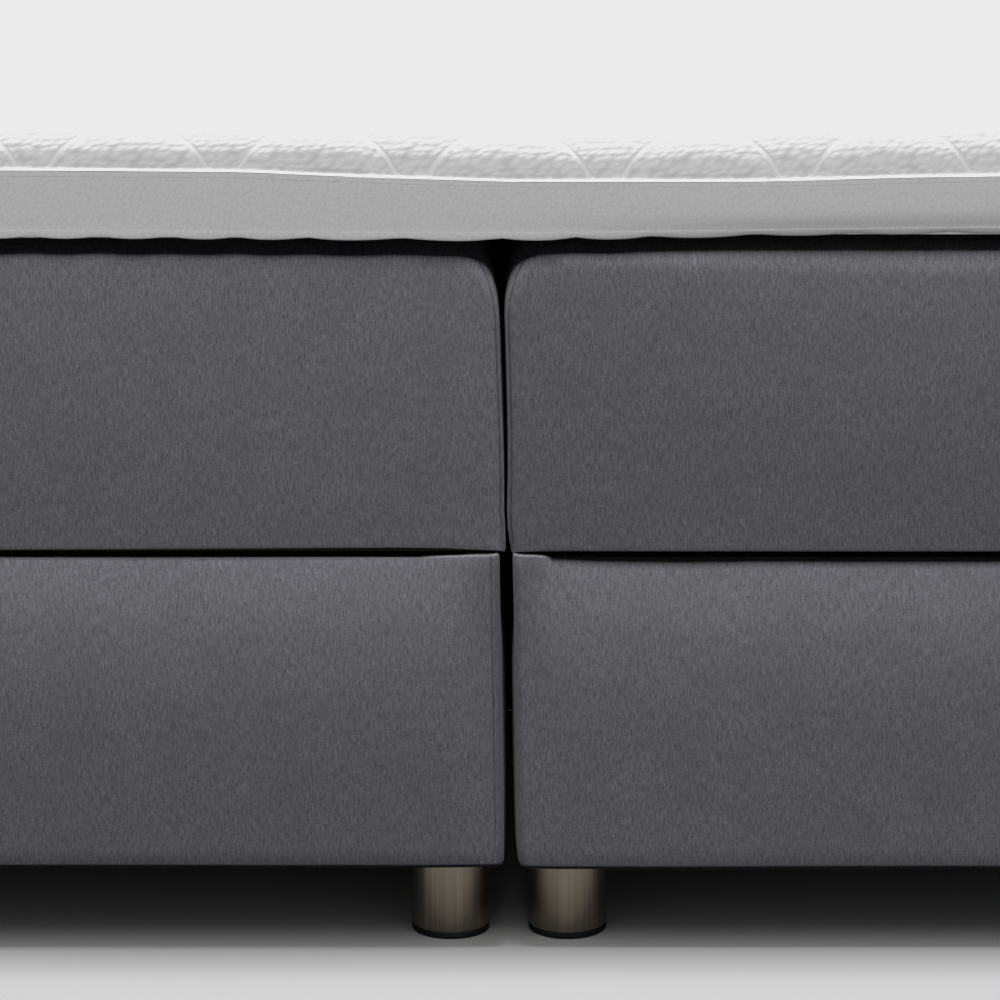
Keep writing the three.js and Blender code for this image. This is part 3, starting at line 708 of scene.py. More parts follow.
# %% Lean the side that faces the other half
# Heights above the base's underside, and how far to the right the side stands there
base_lean = {
    "left": np.array([[0, 60, 110, 200, 246], [0.8, 0.5, -0.4, -1.8, -2.4]]) * mm,
    "right": np.array([[0, 12, 60, 130, 200, 246], [2.5, 1.2, 0.4, -0.4, -1.6, -2.6]]) * mm,
}
lean_reach = 200 * mm


def lean_inner_side(points, centre_x, side, low_z, table):
    """Moves the side that faces the other half, less and less towards the middle."""
    toward = -side * (points[:, 0] - centre_x)
    share = ease(1 - (toward.max() - toward) / lean_reach)
    points[:, 0] += share * np.interp(points[:, 2] - low_z, *table)


# %% Shape a base cover
def outward_directions(cover, points, centre_x, on_end):
    """The level part of each normal, and straight out where a normal points up or down."""
    outward = read_normals(cover) * (1, 1, 0)
    level = np.linalg.norm(outward, axis=1) < level_limit
    outward[level & on_end] = (0, 1, 0)
    outward[level & ~on_end] = (1, 0, 0)
    outward[level] *= np.sign(points[level] - (centre_x, 0, 0))
    return outward / np.linalg.norm(outward, axis=1)[:, None]


def shape_base_cover(cover, half, side, low, high, centre_x, half_width):
    points = read_points(cover)
    height = points[:, 2] - low.z
    to_side = half_width - np.abs(points[:, 0] - centre_x)
    to_end = high.y - np.abs(points[:, 1])
    on_end = to_end < to_side
    inner = (points[:, 0] - centre_x) * side < 0
    outward = outward_directions(cover, points, centre_x, on_end)

    settled = ease((np.where(on_end, to_side, to_end) - settled_from) / settling_reach[half])
    below = np.clip(1 - height / belly_height, 0, 1)
    above = np.clip((height - belly_height) / (high.z - low.z - belly_height), 0, 1)
    belly = np.where(on_end, end_belly[half], side_belly)
    out = belly - (belly - bottom_out) * below ** 2 - (belly + shoulder_inset[half]) * above ** 2
    middle = np.clip(height / (high.z - low.z), 0, 1)
    along = np.clip(1 - (points[:, 1] / high.y) ** 4, 0, 1)
    pressed = (pressed_together - side_belly) * along * np.sqrt(np.sin(math.pi * middle))
    out += (~on_end & inner) * pressed
    out += wave_depth * drift(points, 5, 1 + side) + ripple_depth * drift(points, 16, 3 + side)
    out *= settled

    to_upper_corner = np.hypot(to_side, high.z - pucker_drop - points[:, 2])
    puckered = ease(1 - to_upper_corner / pucker_reach) * on_end * (half == "right")
    out += pucker_depth * puckered * drift(points * (1, 1, 2.2), 110, 5)
    groove = on_end & (np.abs(to_side - upright_seam) < seam_width / 2) & (height > base_bottom_round)
    out -= seam_depth * (groove & ((half == "left") | ~inner))
    near_rim = ease(rim_lead - np.minimum(to_side, to_end) / rim_reach)
    points += outward * (out * near_rim)[:, None]
    points[:, 2] -= ease(1 - height / hanging_reach) * (hanging[half] + wave_depth * drift(points, 5, 9))
    drop_share = corner_drop_share + (1 - corner_drop_share) * settled
    points[:, 2] -= shoulder_drop[half] * above ** 4 * drop_share * near_rim
    lean_inner_side(points, centre_x, side, low.z, base_lean[half])
    write_points(cover, points)


# %% Model the base covers
sleeve_wall = 3 * mm

for half, side in halves:
    low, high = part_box(f"base_{half}_sleeve")
    high.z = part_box(f"base_{half}_top_cloth")[1].z
    centre_x = (low.x + high.x) / 2
    half_width = (high.x - low.x) / 2
    cover = cut_base_cover(half, low, high, centre_x, half_width)
    mark_top_cloth(cover, side, high.z, centre_x, half_width)
    shape_base_cover(cover, half, side, low, high, centre_x, half_width)
    edit_marked(cover, "on_top", 1)
    cloth = separate_selected(cover, f"base_{half}_top_fleece")
    for piece, material, node in ((cover, base_fabric, f"base_{half}_sleeve"),
                                  (cloth, black_cloth, f"base_{half}_top_cloth")):
        thicken(piece, sleeve_wall)
        lay_cloth(piece)
        finish_piece(piece, material, "bed_base", [node])

# %% [markdown]
# ## Mattress covers
# The cover of a mattress is sewn from a long strip that runs up one side, over the top and down the
# other, and from a panel at each end. The strip rolls over the foam, so the seam of the end panel
# lies a little inside the outline. A box with rounded long edges is inset ring by ring at both ends,
# and the rings are then drawn back so that the end turns softly into the top and sides.

# %% Sizes of the rolls, rings and rows of a mattress cover
side_roll_width = 34 * mm
side_roll_height = 60 * mm
mattress_bottom_round = 2 * mm
bottom_steps = [0.4 * mm, 1 * mm, mattress_bottom_round]
panel_seam = 6 * mm
ring_insets = [1.2 * mm, 2.6 * mm, 4.1 * mm, 5.4 * mm, panel_seam, 6.6 * mm, 8 * mm, 10.5 * mm, 14 * mm]
cover_edge = 45 * mm
edge_columns = [17 * mm, 24 * mm, 33 * mm]
low_rows = [8 * mm, 17 * mm]
end_rows = [52 * mm, 42 * mm, 34 * mm, 27 * mm, 21.5 * mm, 17.5 * mm]
roll_clearance = 65 * mm
corner_clearance = 40 * mm


# %% Cut the block of a mattress cover
def roll_long_edges(wrap, high_z, centre_x, half_width):
    """Bevels the two long upper edges, and narrows the round bevel to an upright oval."""
    round_edges(wrap, lambda a, b: (
        abs(a.z - high_z) < tiny and abs(b.z - high_z) < tiny and abs(a.x - b.x) < tiny
    ), side_roll_height, 12)
    points = read_points(wrap)
    across = half_width - np.abs(points[:, 0] - centre_x)
    rolled = (points[:, 2] > high_z - side_roll_height - tiny) & (across < side_roll_height + tiny)
    narrower = across * side_roll_width / side_roll_height
    outward = np.sign(points[:, 0] - centre_x)
    points[rolled, 0] = (centre_x + outward * (half_width - narrower))[rolled]
    write_points(wrap, points)


def cut_mattress_cover(name, low, high, centre_x, half_width):
    wrap = add_block(f"{name}_wrap_cloth", low, high)
    roll_long_edges(wrap, high.z, centre_x, half_width)
    for end in (-1, 1):
        edit_faces(wrap, lambda centre, normal: normal.y * end > straight_on)
        for inset, before in zip(ring_insets, [0] + ring_insets[:-1]):
            bpy.ops.mesh.inset(thickness=inset - before, use_even_offset=True)
        leave_edit()

    def both_sides(insets):
        return [centre_x + end * (half_width - inset) for end in (-1, 1) for inset in insets]

    inner = half_width - cover_edge
    columns = [centre_x + column for column in even_places(-inner, inner, cover_edge)]
    slice_across(wrap, 0, columns + both_sides(edge_columns))
    slice_across(wrap, 1, even_places(low.y + cover_edge, high.y - cover_edge, side_pitch))
    rows = even_places(low.z + row_pitch, high.z - roll_clearance, row_pitch)
    slice_across(wrap, 2, [low.z + row for row in low_rows] + rows)
    slice_across(wrap, 2, [low.z + step for step in bottom_steps],
                 lambda centre, normal: abs(normal.x) > straight_on)
    slice_across(wrap, 0, both_sides(bottom_steps), lambda centre, normal: normal.z < -straight_on)
    slice_across(wrap, 2, [high.z - row for row in end_rows], lambda centre, normal: (
        abs(normal.y) > straight_on and centre.z > high.z - roll_clearance
        and abs(centre.x - centre_x) < half_width - corner_clearance
        and high.z - centre.z > ring_insets[-1]))
    slice_across(wrap, 0, both_sides(ring_insets), lambda centre, normal: (
        abs(normal.y) > straight_on and centre.z < low.z + ring_insets[-1]))
    merge_close(wrap)
    delete_faces(wrap, lambda centre, normal: (
        centre.z < low.z + tiny
        and abs(centre.x - centre_x) < inner and abs(centre.y) < high.y - cover_edge))
    return wrap


# %% Measure the rolled outline of a mattress end
def outline_distance(across, down):
    """How far inside the rolled outline a point of the end lies, and how much it faces the top."""
    side_share = (side_roll_width - across) / side_roll_width
    top_share = (side_roll_height - down) / side_roll_height
    in_corner = (side_share > 0) & (top_share > 0)
    reach = np.maximum(np.hypot(side_share, top_share), 1e-6)
    slope = np.hypot(side_share / side_roll_width, top_share / side_roll_height) / reach
    corner = (1 - reach) / np.maximum(slope, 1e-6)
    distance = np.where(in_corner, corner, np.minimum(across, down))
    turned = np.arctan2(np.maximum(top_share, 0), np.maximum(side_share, 1e-6)) * 2 / math.pi
    facing_top = np.where(in_corner, turned, (down < across) * 1.0)
    return distance, facing_top


def quarter_round(distance, radius):
    depth = radius - np.clip(distance, 0, radius)
    return radius - np.sqrt(np.maximum(radius ** 2 - depth ** 2, 0))


def round_corner(first, second, radius):
    """Draws the points of a square corner onto rings round the middle of its rounding."""
    reach = np.stack([radius - first, radius - second])
    inside = (reach > 0).all(axis=0)
    share = reach.max(axis=0) / np.maximum(np.hypot(*reach), 1e-9)
    rounded = radius - reach * share
    return np.where(inside, rounded[0], first), np.where(inside, rounded[1], second)


# %% [markdown]
# ## The shape of a mattress cover
# The end panel stands back from the base, leans back at the top and crowns slightly in the middle.
# Its seam is pulled in, and its lower edge hangs unevenly over the base. The photograph shows how
# these change from left to right, so each is a short table of places and sizes between which the
# points are interpolated.

# %% Sizes of the mattress's seams, rolls and edges
side_seam = 2.7 * mm
end_recess = 5 * mm
end_crown = {"left": 1.8 * mm, "right": 0.7 * mm}
side_crown = 1.5 * mm
seam_reach = 0.2 * mm
seam_from = 1 * mm
cover_wave = 1.0 * mm
cover_ripple = 0.4 * mm
end_roll_side = 7 * mm
hang_reach = 30 * mm
hang_lead = 1.4
side_share = 0.3

# Heights above the mattress's underside, and how far to the right its inner side stands there
mattress_lean = {
    "left": np.array([[0, 12, 30, 70, 120, 190, 242], [-0.6, -1, -2, -2.2, -4, -6.4, -7]]) * mm,
    "right": np.array([[0, 12, 30, 60, 100, 150, 200, 242],
                       [-0.8, -2.8, -3.6, -2.8, -3, -4.4, -5.6, -6]]) * mm,
}

# From the outer left to the outer right: how far the end leans back at the top, how wide its
# upper edge rolls, and how far its lower edge hangs below its level
end_places = np.array([-900, -60, 0, 60, 260, 900]) * mm
top_recess = np.array([4.6, 3.8, 2.6, 4.6, 9.8, 9.8]) * mm
end_roll_top = np.array([20, 20, 20, 24, 28, 28]) * mm
hang_places = np.array([-900, -370, -150, -60, -30, -1, 1, 12, 30, 60, 900]) * mm
hang_depths = np.array([1.5, 1.1, -0.4, -0.8, 0.9, 2.2, 3.4, 3.0, 2.1, 2.1, 2.3]) * mm


# %% Mark the end panels
def mark_panels(wrap, high_z, centre_x, half_width):
    centres, facing = read_faces(wrap)
    inside, _ = outline_distance(half_width - np.abs(centres[:, 0] - centre_x), high_z - centres[:, 2])
    in_panel = (inside > panel_seam) & (np.abs(facing[:, 1]) > straight_on)
    mark_faces(wrap, "panel", in_panel * np.sign(centres[:, 1]))


# %% Shape a mattress cover
def shape_mattress_cover(wrap, half, side, low, high, centre_x, half_width):
    points = read_points(wrap)
    normals = read_normals(wrap)
    across = half_width - np.abs(points[:, 0] - centre_x)
    down = high.z - points[:, 2]
    up = points[:, 2] - low.z
    rounded_across, rounded_up = round_corner(across, up, mattress_bottom_round)
    points[:, 0] += np.sign(points[:, 0] - centre_x) * (across - rounded_across)
    points[:, 2] += rounded_up - up

    distance, facing_top = outline_distance(across, down)
    ends = np.abs(np.abs(points[:, 1]) - high.y) < tiny
    nearer = np.interp(distance, [0, panel_seam, 3 * panel_seam], [0, side_seam, 3 * panel_seam])
    shift = (distance - nearer) * (1 - facing_top) * (across < 3 * panel_seam)
    points[ends, 0] += (np.sign(points[:, 0] - centre_x) * shift)[ends]
    on_seam = ends & (np.abs(distance - panel_seam) < seam_reach) & (up > panel_seam + seam_from)
    top_radius = np.interp(points[:, 0], end_places, end_roll_top)
    radius = end_roll_side + (top_radius - end_roll_side) * ease(facing_top)
    back = quarter_round(distance - shift, radius)
    back = np.maximum(back, quarter_round(up, np.full(len(up), mattress_bottom_round)))
    span_x = np.clip(1 - ((points[:, 0] - centre_x) / half_width) ** 2, 0, 1)
    span_z = np.clip(1 - (2 * up / (high.z - low.z) - 1) ** 2, 0, 1)
    crown = end_crown[half] * np.sqrt(span_x) * span_z
    uneven = cover_wave * drift(points, 5, 11 + side) + cover_ripple * drift(points, 15, 13 + side)
    leaning = np.interp(points[:, 0], end_places, top_recess) * (up / (high.z - low.z)) ** 4
    back += end_recess + leaning + seam_depth * on_seam
    points[ends, 1] -= (np.sign(points[:, 1]) * (back - crown - uneven))[ends]

    sides = ~ends & (np.abs(normals[:, 0]) > side_share)
    points[sides, 0] += (np.sign(normals[:, 0]) * (side_crown * span_z + uneven))[sides]
    hanging_edge = np.interp(points[:, 0], hang_places, hang_depths)
    hanging_edge += ripple_depth * drift(points, 4.5, 17)
    at_rim = ease(hang_lead - np.minimum(across, high.y - np.abs(points[:, 1])) / hang_reach)
    points[:, 2] -= ease(1 - up / hang_reach) * at_rim * hanging_edge
    lean_inner_side(points, centre_x, side, low.z, mattress_lean[half])
    write_points(wrap, points)


# %% Model the mattress covers
cover_wall = 3 * mm

for half, side in halves:
    name = f"mattress_{half}"
    low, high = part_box(f"{name}_cover_wrap")
    low.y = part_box(f"{name}_foot_panel")[0].y
    high.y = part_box(f"{name}_head_panel")[1].y
    centre_x = (low.x + high.x) / 2
    half_width = (high.x - low.x) / 2
    wrap = cut_mattress_cover(name, low, high, centre_x, half_width)
    mark_panels(wrap, high.z, centre_x, half_width)
    shape_mattress_cover(wrap, half, side, low, high, centre_x, half_width)
    pieces = [(wrap, f"{name}_cover_wrap")]
    for end, label in ((-1, "foot"), (1, "head")):
        edit_marked(wrap, "panel", end)
        pieces.append((separate_selected(wrap, f"{name}_{label}_cloth"), f"{name}_{label}_panel"))
    for piece, node in pieces:
        thicken(piece, cover_wall)
        lay_cloth(piece)
        finish_piece(piece, shaded_mattress_fabric[half], name, [node])

# %% [markdown]
# ## Quilted topper panel
# A quilting machine stitches two sets of slanted lines through the jersey and its wadding, and each
# diamond between them puffs up. Sculpting 300 diamonds by hand would take days. Here a fine grid is
# laid so that every stitched line runs through its points, and one formula raises the puffs. Near
# the edge the sheet rolls down to the piping, and the cloth is pulled there, so the lines get
# steeper. That pull is a small table from distance in the pattern to distance on the cloth.

# %% Measure the pattern and the rolled edge
quilt_across = 140 * mm
quilt_along = 136 * mm
crossing = np.array([-70 * mm, -877.3 * mm])
pattern_beyond = 4 * mm
pattern_from_edge = np.array([0, 2.5, 12.9, 120.8]) * mm
cloth_from_edge = np.array([0, 4, 20.6, 130]) * mm
roll_width = 38 * mm
roll_height = 28 * mm
cord_inset = 0.9 * mm
cord_drop = 0.6 * mm
last_angle = math.radians(103)
arc_count = 60

piping_low, piping_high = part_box("topper_upper_piping")
piping_z = (piping_low.z + piping_high.z) / 2
half_bed = np.array([piping_high.x, piping_high.y])
pattern_half = half_bed + pattern_beyond
roll_start = half_bed - cord_inset - roll_width
valley_z = piping_z - cord_drop + roll_height
bulge_height = roll_height / (1 - math.cos(last_angle))
angles = np.linspace(0, last_angle, arc_count)
arc_steps = np.hypot(np.diff(roll_width * np.sin(angles)), np.diff(bulge_height * np.cos(angles)))
arc_lengths = np.concatenate([[0], np.cumsum(arc_steps)])
roll_length = arc_lengths[-1]
print("The cloth of the roll is", round(roll_length / mm, 1), "mm long")

# %% Measure how the edge sags
side_sag = 3 * mm
sag_start = 190 * mm
sag_reach = 150 * mm

# How far the edge hangs or rises along the foot end
sag_places = np.array([-900, -600, -370, -200, -100, 0, 180, 295, 500, 700, 900]) * mm
sag_heights = np.array([0, 1.4, 1.9, 0.7, -3.6, -6.7, -6.7, -3.6, -0.6, -2.9, -1.8]) * mm

# How much higher the roll stands there than its piping says
crest_places = np.array([-900, -200, -80, 60, 200, 900]) * mm
crest_heights = np.array([-1.2, -1, 2, 0.3, 3.6, 3]) * mm


def near_foot(points, start, reach):
    """Grows from 0 to 1 over a reach that starts that far inside the foot end."""
    return ease((-points[:, 1] - half_bed[1] + start) / reach)


def edge_sag(points):
    at_foot = near_foot(points, sag_start, sag_reach)
    along_foot = np.interp(points[:, 0], sag_places, sag_heights)
    return at_foot * along_foot + (1 - at_foot) * side_sag * drift(points * (1, 1, 0), 3, 21)


def edge_crest(points):
    return near_foot(points, sag_start, sag_reach) * np.interp(points[:, 0], crest_places, crest_heights)


# %% Lay the pattern out as cloth and roll it down
def quilt_shares(pattern):
    """Where each point lies between the stitched lines of both sets, counted in lines."""
    steps = (pattern - crossing) / (quilt_across / 2, quilt_along / 2)
    return steps.sum(axis=1) / 2, (steps[:, 0] - steps[:, 1]) / 2


def to_cloth(pattern):
    """Distance on the cloth from the middle of the bed and from its edge, for a place in the pattern."""
    from_edge = pattern_half - np.abs(pattern)
    pulled = np.interp(from_edge, pattern_from_edge, cloth_from_edge)
    pulled += np.maximum(from_edge - pattern_from_edge[-1], 0)
    return np.sign(pattern) * (roll_start + roll_length - pulled), pulled


def outward_of(points):
    """The level direction from the flat middle of the bed to each point of its edge."""
    outward = points[:, :2] - np.clip(points[:, :2], -roll_start, roll_start)
    return outward / np.maximum(np.linalg.norm(outward, axis=1), 1e-9)[:, None]


def roll_down(cloth):
    """Lays flat cloth over the bed and down the roll, with the direction it faces."""
    flat = np.clip(cloth, -roll_start, roll_start)
    outward = outward_of(cloth)
    angle = np.interp(np.abs(cloth - flat).max(axis=1), arc_lengths, angles)
    plan = flat + outward * (roll_width * np.sin(angle))[:, None]
    height = valley_z - bulge_height * (1 - np.cos(angle))
    level = outward * (np.sin(angle) / roll_width)[:, None]
    facing = np.column_stack([level, np.cos(angle) / bulge_height])
    return np.column_stack([plan, height]), facing / np.linalg.norm(facing, axis=1)[:, None]


def grid_lines(axis, pitch):
    first = math.ceil((pattern_half[axis] + crossing[axis]) / pitch)
    last = math.ceil((pattern_half[axis] - crossing[axis]) / pitch)
    lines = crossing[axis] + np.arange(-first, last + 1) * pitch
    inner = lines[np.abs(lines) < pattern_half[axis] - pitch / 3]
    return np.array([-pattern_half[axis], *inner, pattern_half[axis]])


# %% Lay the grid and raise the diamonds
grid_steps = 20
puff_height = 4 * mm
puff_spread = 0.16
puff_fade = 14 * mm
puff_fullness = 0.65
panel_drift = 0.8 * mm
crest_fade = 35 * mm
sag_fade = 130 * mm

columns = grid_lines(0, quilt_across / grid_steps)
rows = grid_lines(1, quilt_along / grid_steps)
bpy.ops.object.select_all(action="DESELECT")
bpy.ops.mesh.primitive_grid_add(x_subdivisions=len(columns) - 1, y_subdivisions=len(rows) - 1, size=2)
quilt = take_new("topper_quilted_panel")
shares = (read_points(quilt)[:, :2] + 1) / 2 * (len(columns) - 1, len(rows) - 1)
column_of, row_of = np.rint(shares).astype(int).T
pattern = np.column_stack([columns[column_of], rows[row_of]])
cloth, from_edge = to_cloth(pattern)
points, facing = roll_down(cloth)

to_rim = from_edge.min(axis=1)
rising, falling = quilt_shares(pattern)
diamonds = np.column_stack([np.floor(rising), np.floor(falling), np.zeros(len(points))])
fullness = 1 + puff_spread * drift(diamonds, 0.73, 4)
arch = np.abs(np.sin(math.pi * rising) * np.sin(math.pi * falling)) ** puff_fullness
attached = ease(to_rim / puff_fade)
points += facing * (puff_height * arch * fullness * attached)[:, None]
points += facing * (panel_drift * drift(points, 3.2, 8) * attached)[:, None]
crest = edge_crest(points) * ease(to_rim / crest_fade)
points[:, 2] += (edge_sag(points) + crest) * (1 - ease(to_rim / sag_fade))
write_points(quilt, points)
print("Columns and rows of the panel:", len(columns), len(rows))

# %% Split each square along the stitched line that is nearer to it
shares = np.stack([rising % 1, falling % 1])
to_line = np.minimum(shares, 1 - shares)
near_line = to_line[:, read_values(quilt.data.polygons, "vertices", 4, np.int32)].mean(axis=2)
mark_faces(quilt, "near_falling", near_line[1] <= near_line[0])
for method, mark in (("FIXED", 1), ("FIXED_ALTERNATE", 0)):
    edit_marked(quilt, "near_falling", mark)
    bpy.ops.mesh.quads_convert_to_tris(quad_method=method)
    leave_edit()


# %% Turn the cloth under at the piping and close the panel
def edit_rim(piece):
    """Enters edit mode with the open edges selected."""
    enter_edit(piece, "EDGE")
    bpy.ops.mesh.select_non_manifold(
        use_wire=False, use_multi_face=False, use_non_contiguous=False, use_verts=False)


wadding_inset = 37 * mm
above_core = 0.5 * mm
core_low, core_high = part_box("topper_foam_core")
top_count = len(points)
for inset, height in ((half_bed[0] - core_high.x, piping_z), (wadding_inset, core_high.z + above_core)):
    before = len(quilt.data.vertices)
    edit_rim(quilt)
    bpy.ops.mesh.extrude_edges_move()
    leave_edit()
    points = read_points(quilt)
    rim = points[before:, :2]
    flat = np.clip(rim, -roll_start, roll_start)
    points[before:, :2] = flat + outward_of(rim) * (half_bed - roll_start - inset)[0]
    points[before:, 2] = height
    write_points(quilt, points)
edit_rim(quilt)
bpy.ops.mesh.edge_face_add()
leave_edit()

line_spacing = quilt_across * quilt_along / math.hypot(quilt_across, quilt_along)
stitched = np.full(len(quilt.data.vertices), quilt_along)
stitched[:top_count] = to_line.min(axis=0) * line_spacing
quilt.data.attributes.new("stitch_distance", "FLOAT", "POINT").data.foreach_set("value", stitched)
flat_map = read_points(quilt)[:, :2].copy()
flat_map[:top_count] = cloth
write_cloth_map(quilt, flat_map[read_values(quilt.data.loops, "vertex_index", 1, np.int32)])
finish_piece(quilt, ticking, "topper", ["topper_top_panel"], smooth_angle=60)

# %% [markdown]
# ## Piping
# A thin cord in white cloth is sewn between the panel and the border. A mesh tube would need its
# ends joined by hand. It is easiest as a curve: its line follows the edge, dips where the topper
# sags, and a round bevel gives it thickness.

# %% Model the piping
cord_radius = 1.1 * mm
cord_corner = 38.5 * mm
cord_pitch = 40 * mm
long_side = 0.5

bpy.ops.object.select_all(action="DESELECT")
bpy.ops.mesh.primitive_plane_add(size=2, location=(0, 0, piping_z))
piping = take_new("topper_piping", (*(half_bed - cord_radius), 1))
bpy.ops.object.mode_set(mode="EDIT")
bpy.ops.mesh.select_all(action="SELECT")
bpy.ops.mesh.bevel(offset=cord_corner, segments=10, affect="VERTICES")
bpy.ops.mesh.delete(type="ONLY_FACE")
leave_edit()
for axis in (0, 1):
    edit_edges(piping, lambda a, b: abs((a - b)[axis]) > long_side)
    bpy.ops.mesh.subdivide(number_cuts=round(2 * (half_bed[axis] - cord_radius) / cord_pitch))
    leave_edit()
points = read_points(piping)
points[:, 2] += edge_sag(points)
write_points(piping, points)
activate(piping)
bpy.ops.object.convert(target="CURVE")
piping.data.bevel_depth = cord_radius
piping.data.bevel_resolution = 1
bpy.ops.object.convert(target="MESH")
finish_piece(piping, piping_cloth, "topper", ["topper_upper_piping"], smooth_angle=60)

# %% [markdown]
# ## Border and hem
# The border is a band of mesh that bulges a little, and a folded hem closes it below. Both could be
# extruded from the piping, but a block without its top and bottom gives clean upright columns. The
# hem is gathered slightly by its stitches, so its lower edge runs in shallow scallops. At the right
# the topper rests harder on the mattress, and there its lower edge curls under.

# %% Shape the lower edge of the topper
border_low, border_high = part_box("topper_border")
hem_low, hem_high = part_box("topper_lower_hem")
zip_low, zip_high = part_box("topper_zip_tape")
band_corner = 39 * mm
lower_curl = 11.5 * mm
curl_height = 25 * mm
curl_from = -50 * mm
curl_reach = 300 * mm
hem_start = 70 * mm
hem_reach = 50 * mm
hem_places = np.array([-900, -300, -30, 30, 150, 260, 450, 900]) * mm
hem_heights = np.array([0.4, 0.2, -1.6, -1.6, -0.8, 0.6, 2.6, 2.6]) * mm


def hem_sag(points):
    return near_foot(points, hem_start, hem_reach) * np.interp(points[:, 0], hem_places, hem_heights)


def curl_under(points):
    """Draws the lower edge inwards where the topper rests harder on the mattress."""
    heavier = ease((points[:, 0] - curl_from) / curl_reach) * near_foot(points, hem_start, hem_reach)
    near_edge = np.clip(1 - (points[:, 2] - hem_low.z) / curl_height, 0, 1)
    points[:, 1] += lower_curl * heavier * near_edge ** 2


def push_out(points, distance):
    points[:, :2] += outward_of(points) * distance[:, None]


def open_band(name, low, high, rows, pitch):
    """Upright sides only, with points all the way round."""
    band = add_block(name, low, high)
    round_uprights(band, band_corner, 10)
    slice_evenly(band, low, high, pitch)
    slice_across(band, 2, rows)
    delete_faces(band, lambda centre, normal: abs(normal.z) > straight_on)
    return band


# %% Model the border
border_wall = 5 * mm
border_pitch = 30 * mm
border_row_pitch = 6 * mm
border_bulge = 0.9 * mm
border_drift = 0.5 * mm
border_inset = 0.3 * mm
seam_pull = 0.5 * mm
tucked_in = 1 * mm

seam_rows = [border_high.z - below_piping * mm for below_piping in (3, 3.6, 4.2)]
border_rows = [zip_low.z, zip_high.z] + even_places(zip_high.z, border_high.z, border_row_pitch)[1:-1]
border_rows += [zip_low.z + offset * mm for offset in (-2, 4, 8)] + seam_rows
border = open_band("topper_border_mesh", border_low, border_high, border_rows, border_pitch)
slice_across(border, 0, [zip_low.x, zip_high.x], lambda centre, normal: normal.y > straight_on)
delete_faces(border, lambda centre, normal: (
    normal.y > straight_on and zip_low.x < centre.x < zip_high.x and zip_low.z < centre.z < zip_high.z))
points = read_points(border)
rise = (points[:, 2] - border_low.z) / (border_high.z - border_low.z)
bulge = border_bulge * np.sin(math.pi * rise) + border_drift * drift(points * (1, 1, 0.4), 9, 31)
bulge -= seam_pull * (np.abs(points[:, 2] - seam_rows[1]) < tiny)
push_out(points, bulge - border_inset)
curl_under(points)
points[:, 2] += edge_sag(points) * rise + hem_sag(points) * (1 - rise)
points[:, 2] += tucked_in * ((rise > 1 - tiny).astype(float) - (rise < tiny))
write_points(border, points)
thicken(border, border_wall)
lay_cloth(border)
finish_piece(border, border_mesh, "topper", ["topper_border"])

# %% Model the hem
hem_wall = 3.5 * mm
hem_pitch = 9 * mm
hem_insets = [0.8 * mm, 2 * mm]
hem_roll = 1.2 * mm
hem_outset = 0.25 * mm
hem_drift = 0.4 * mm
scallop_pitch = 62 * mm
scallop_wander = 0.9
scallop_height = 2.2 * mm
scallop_depth = 0.7 * mm
scallop_sharpness = 0.7
hem_seam_share = 0.9
corner_reach = 40 * mm

hem_rows = [hem_low.z + inset for inset in hem_insets] + [hem_high.z - inset for inset in hem_insets[::-1]]
hem = open_band("topper_hem", hem_low, hem_high, hem_rows, hem_pitch)
points = read_points(hem)
level = points * (1, 1, 0)
rise = (points[:, 2] - hem_low.z) / (hem_high.z - hem_low.z)
along = np.where(np.abs(points[:, 1]) > half_bed[1] - corner_reach, points[:, 0], points[:, 1])
wander = scallop_wander * drift(level, 5, 41)
scallop = np.abs(np.sin(math.pi * (along / scallop_pitch + wander))) ** scallop_sharpness
rolled = hem_roll * np.clip(1 - rise * 3, 0, 1) ** 2
ripple = scallop_depth * (1 - scallop) + hem_drift * drift(level, 22, 43)
push_out(points, -(rolled + ripple * (1 - rise) - hem_outset * (rise < hem_seam_share)))
curl_under(points)
points[:, 2] += scallop_height * (1 - scallop) * (1 - rise) ** 2 + hem_sag(points)
write_points(hem, points)
thicken(hem, hem_wall)
lay_cloth(hem)
finish_piece(hem, border_mesh, "topper", ["topper_lower_hem"], smooth_angle=60)

# %% [markdown]
# ## Underside and foam of the topper
# A plain cloth closes the topper below, and the foam lies between it and the quilted panel. Both
# are flat blocks with round corners. A cloth simulation would find hardly any fold in them, because
# the cover is pulled tight, so a little drift is enough.

# %% Model the underside and the foam
inner_corner = 33 * mm
under_pitch = 90 * mm
under_drift = 0.3 * mm
under_drop = 0.15 * mm
core_slope = 30 * mm
core_round = 6 * mm

under_low, under_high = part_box("topper_bottom_panel")
under = add_block("topper_underside", under_low, under_high)
round_uprights(under, inner_corner, 6)
slice_evenly(under, under_low, under_high, under_pitch)
points = read_points(under)
points[:, 2] += under_drift * drift(points * (1, 1, 0), 6, 51) - under_drop
curl_under(points)
write_points(under, points)
lay_cloth(under)
finish_piece(under, ticking, "topper", ["topper_bottom_panel"])

core = add_block("topper_core", core_low, core_high)
round_uprights(core, inner_corner, 8)
slice_across(core, 2, [border_high.z])
points = read_points(core)
push_out(points, -core_slope * (points[:, 2] > core_high.z - tiny))
curl_under(points)
write_points(core, points)
round_rim(core, core_high.z, core_round, 3)
finish_piece(core, foam, "topper", ["topper_foam_core"])

# %% [markdown]
# ## Zip of the topper
# The topper's cover comes off by a long zip in the border at the head end. The coil of a zip is one
# spiral of nylon. From outside only its loops show, so one small loop is repeated along the tape by
# an array modifier. The slider has a pressed body and a thin pull.

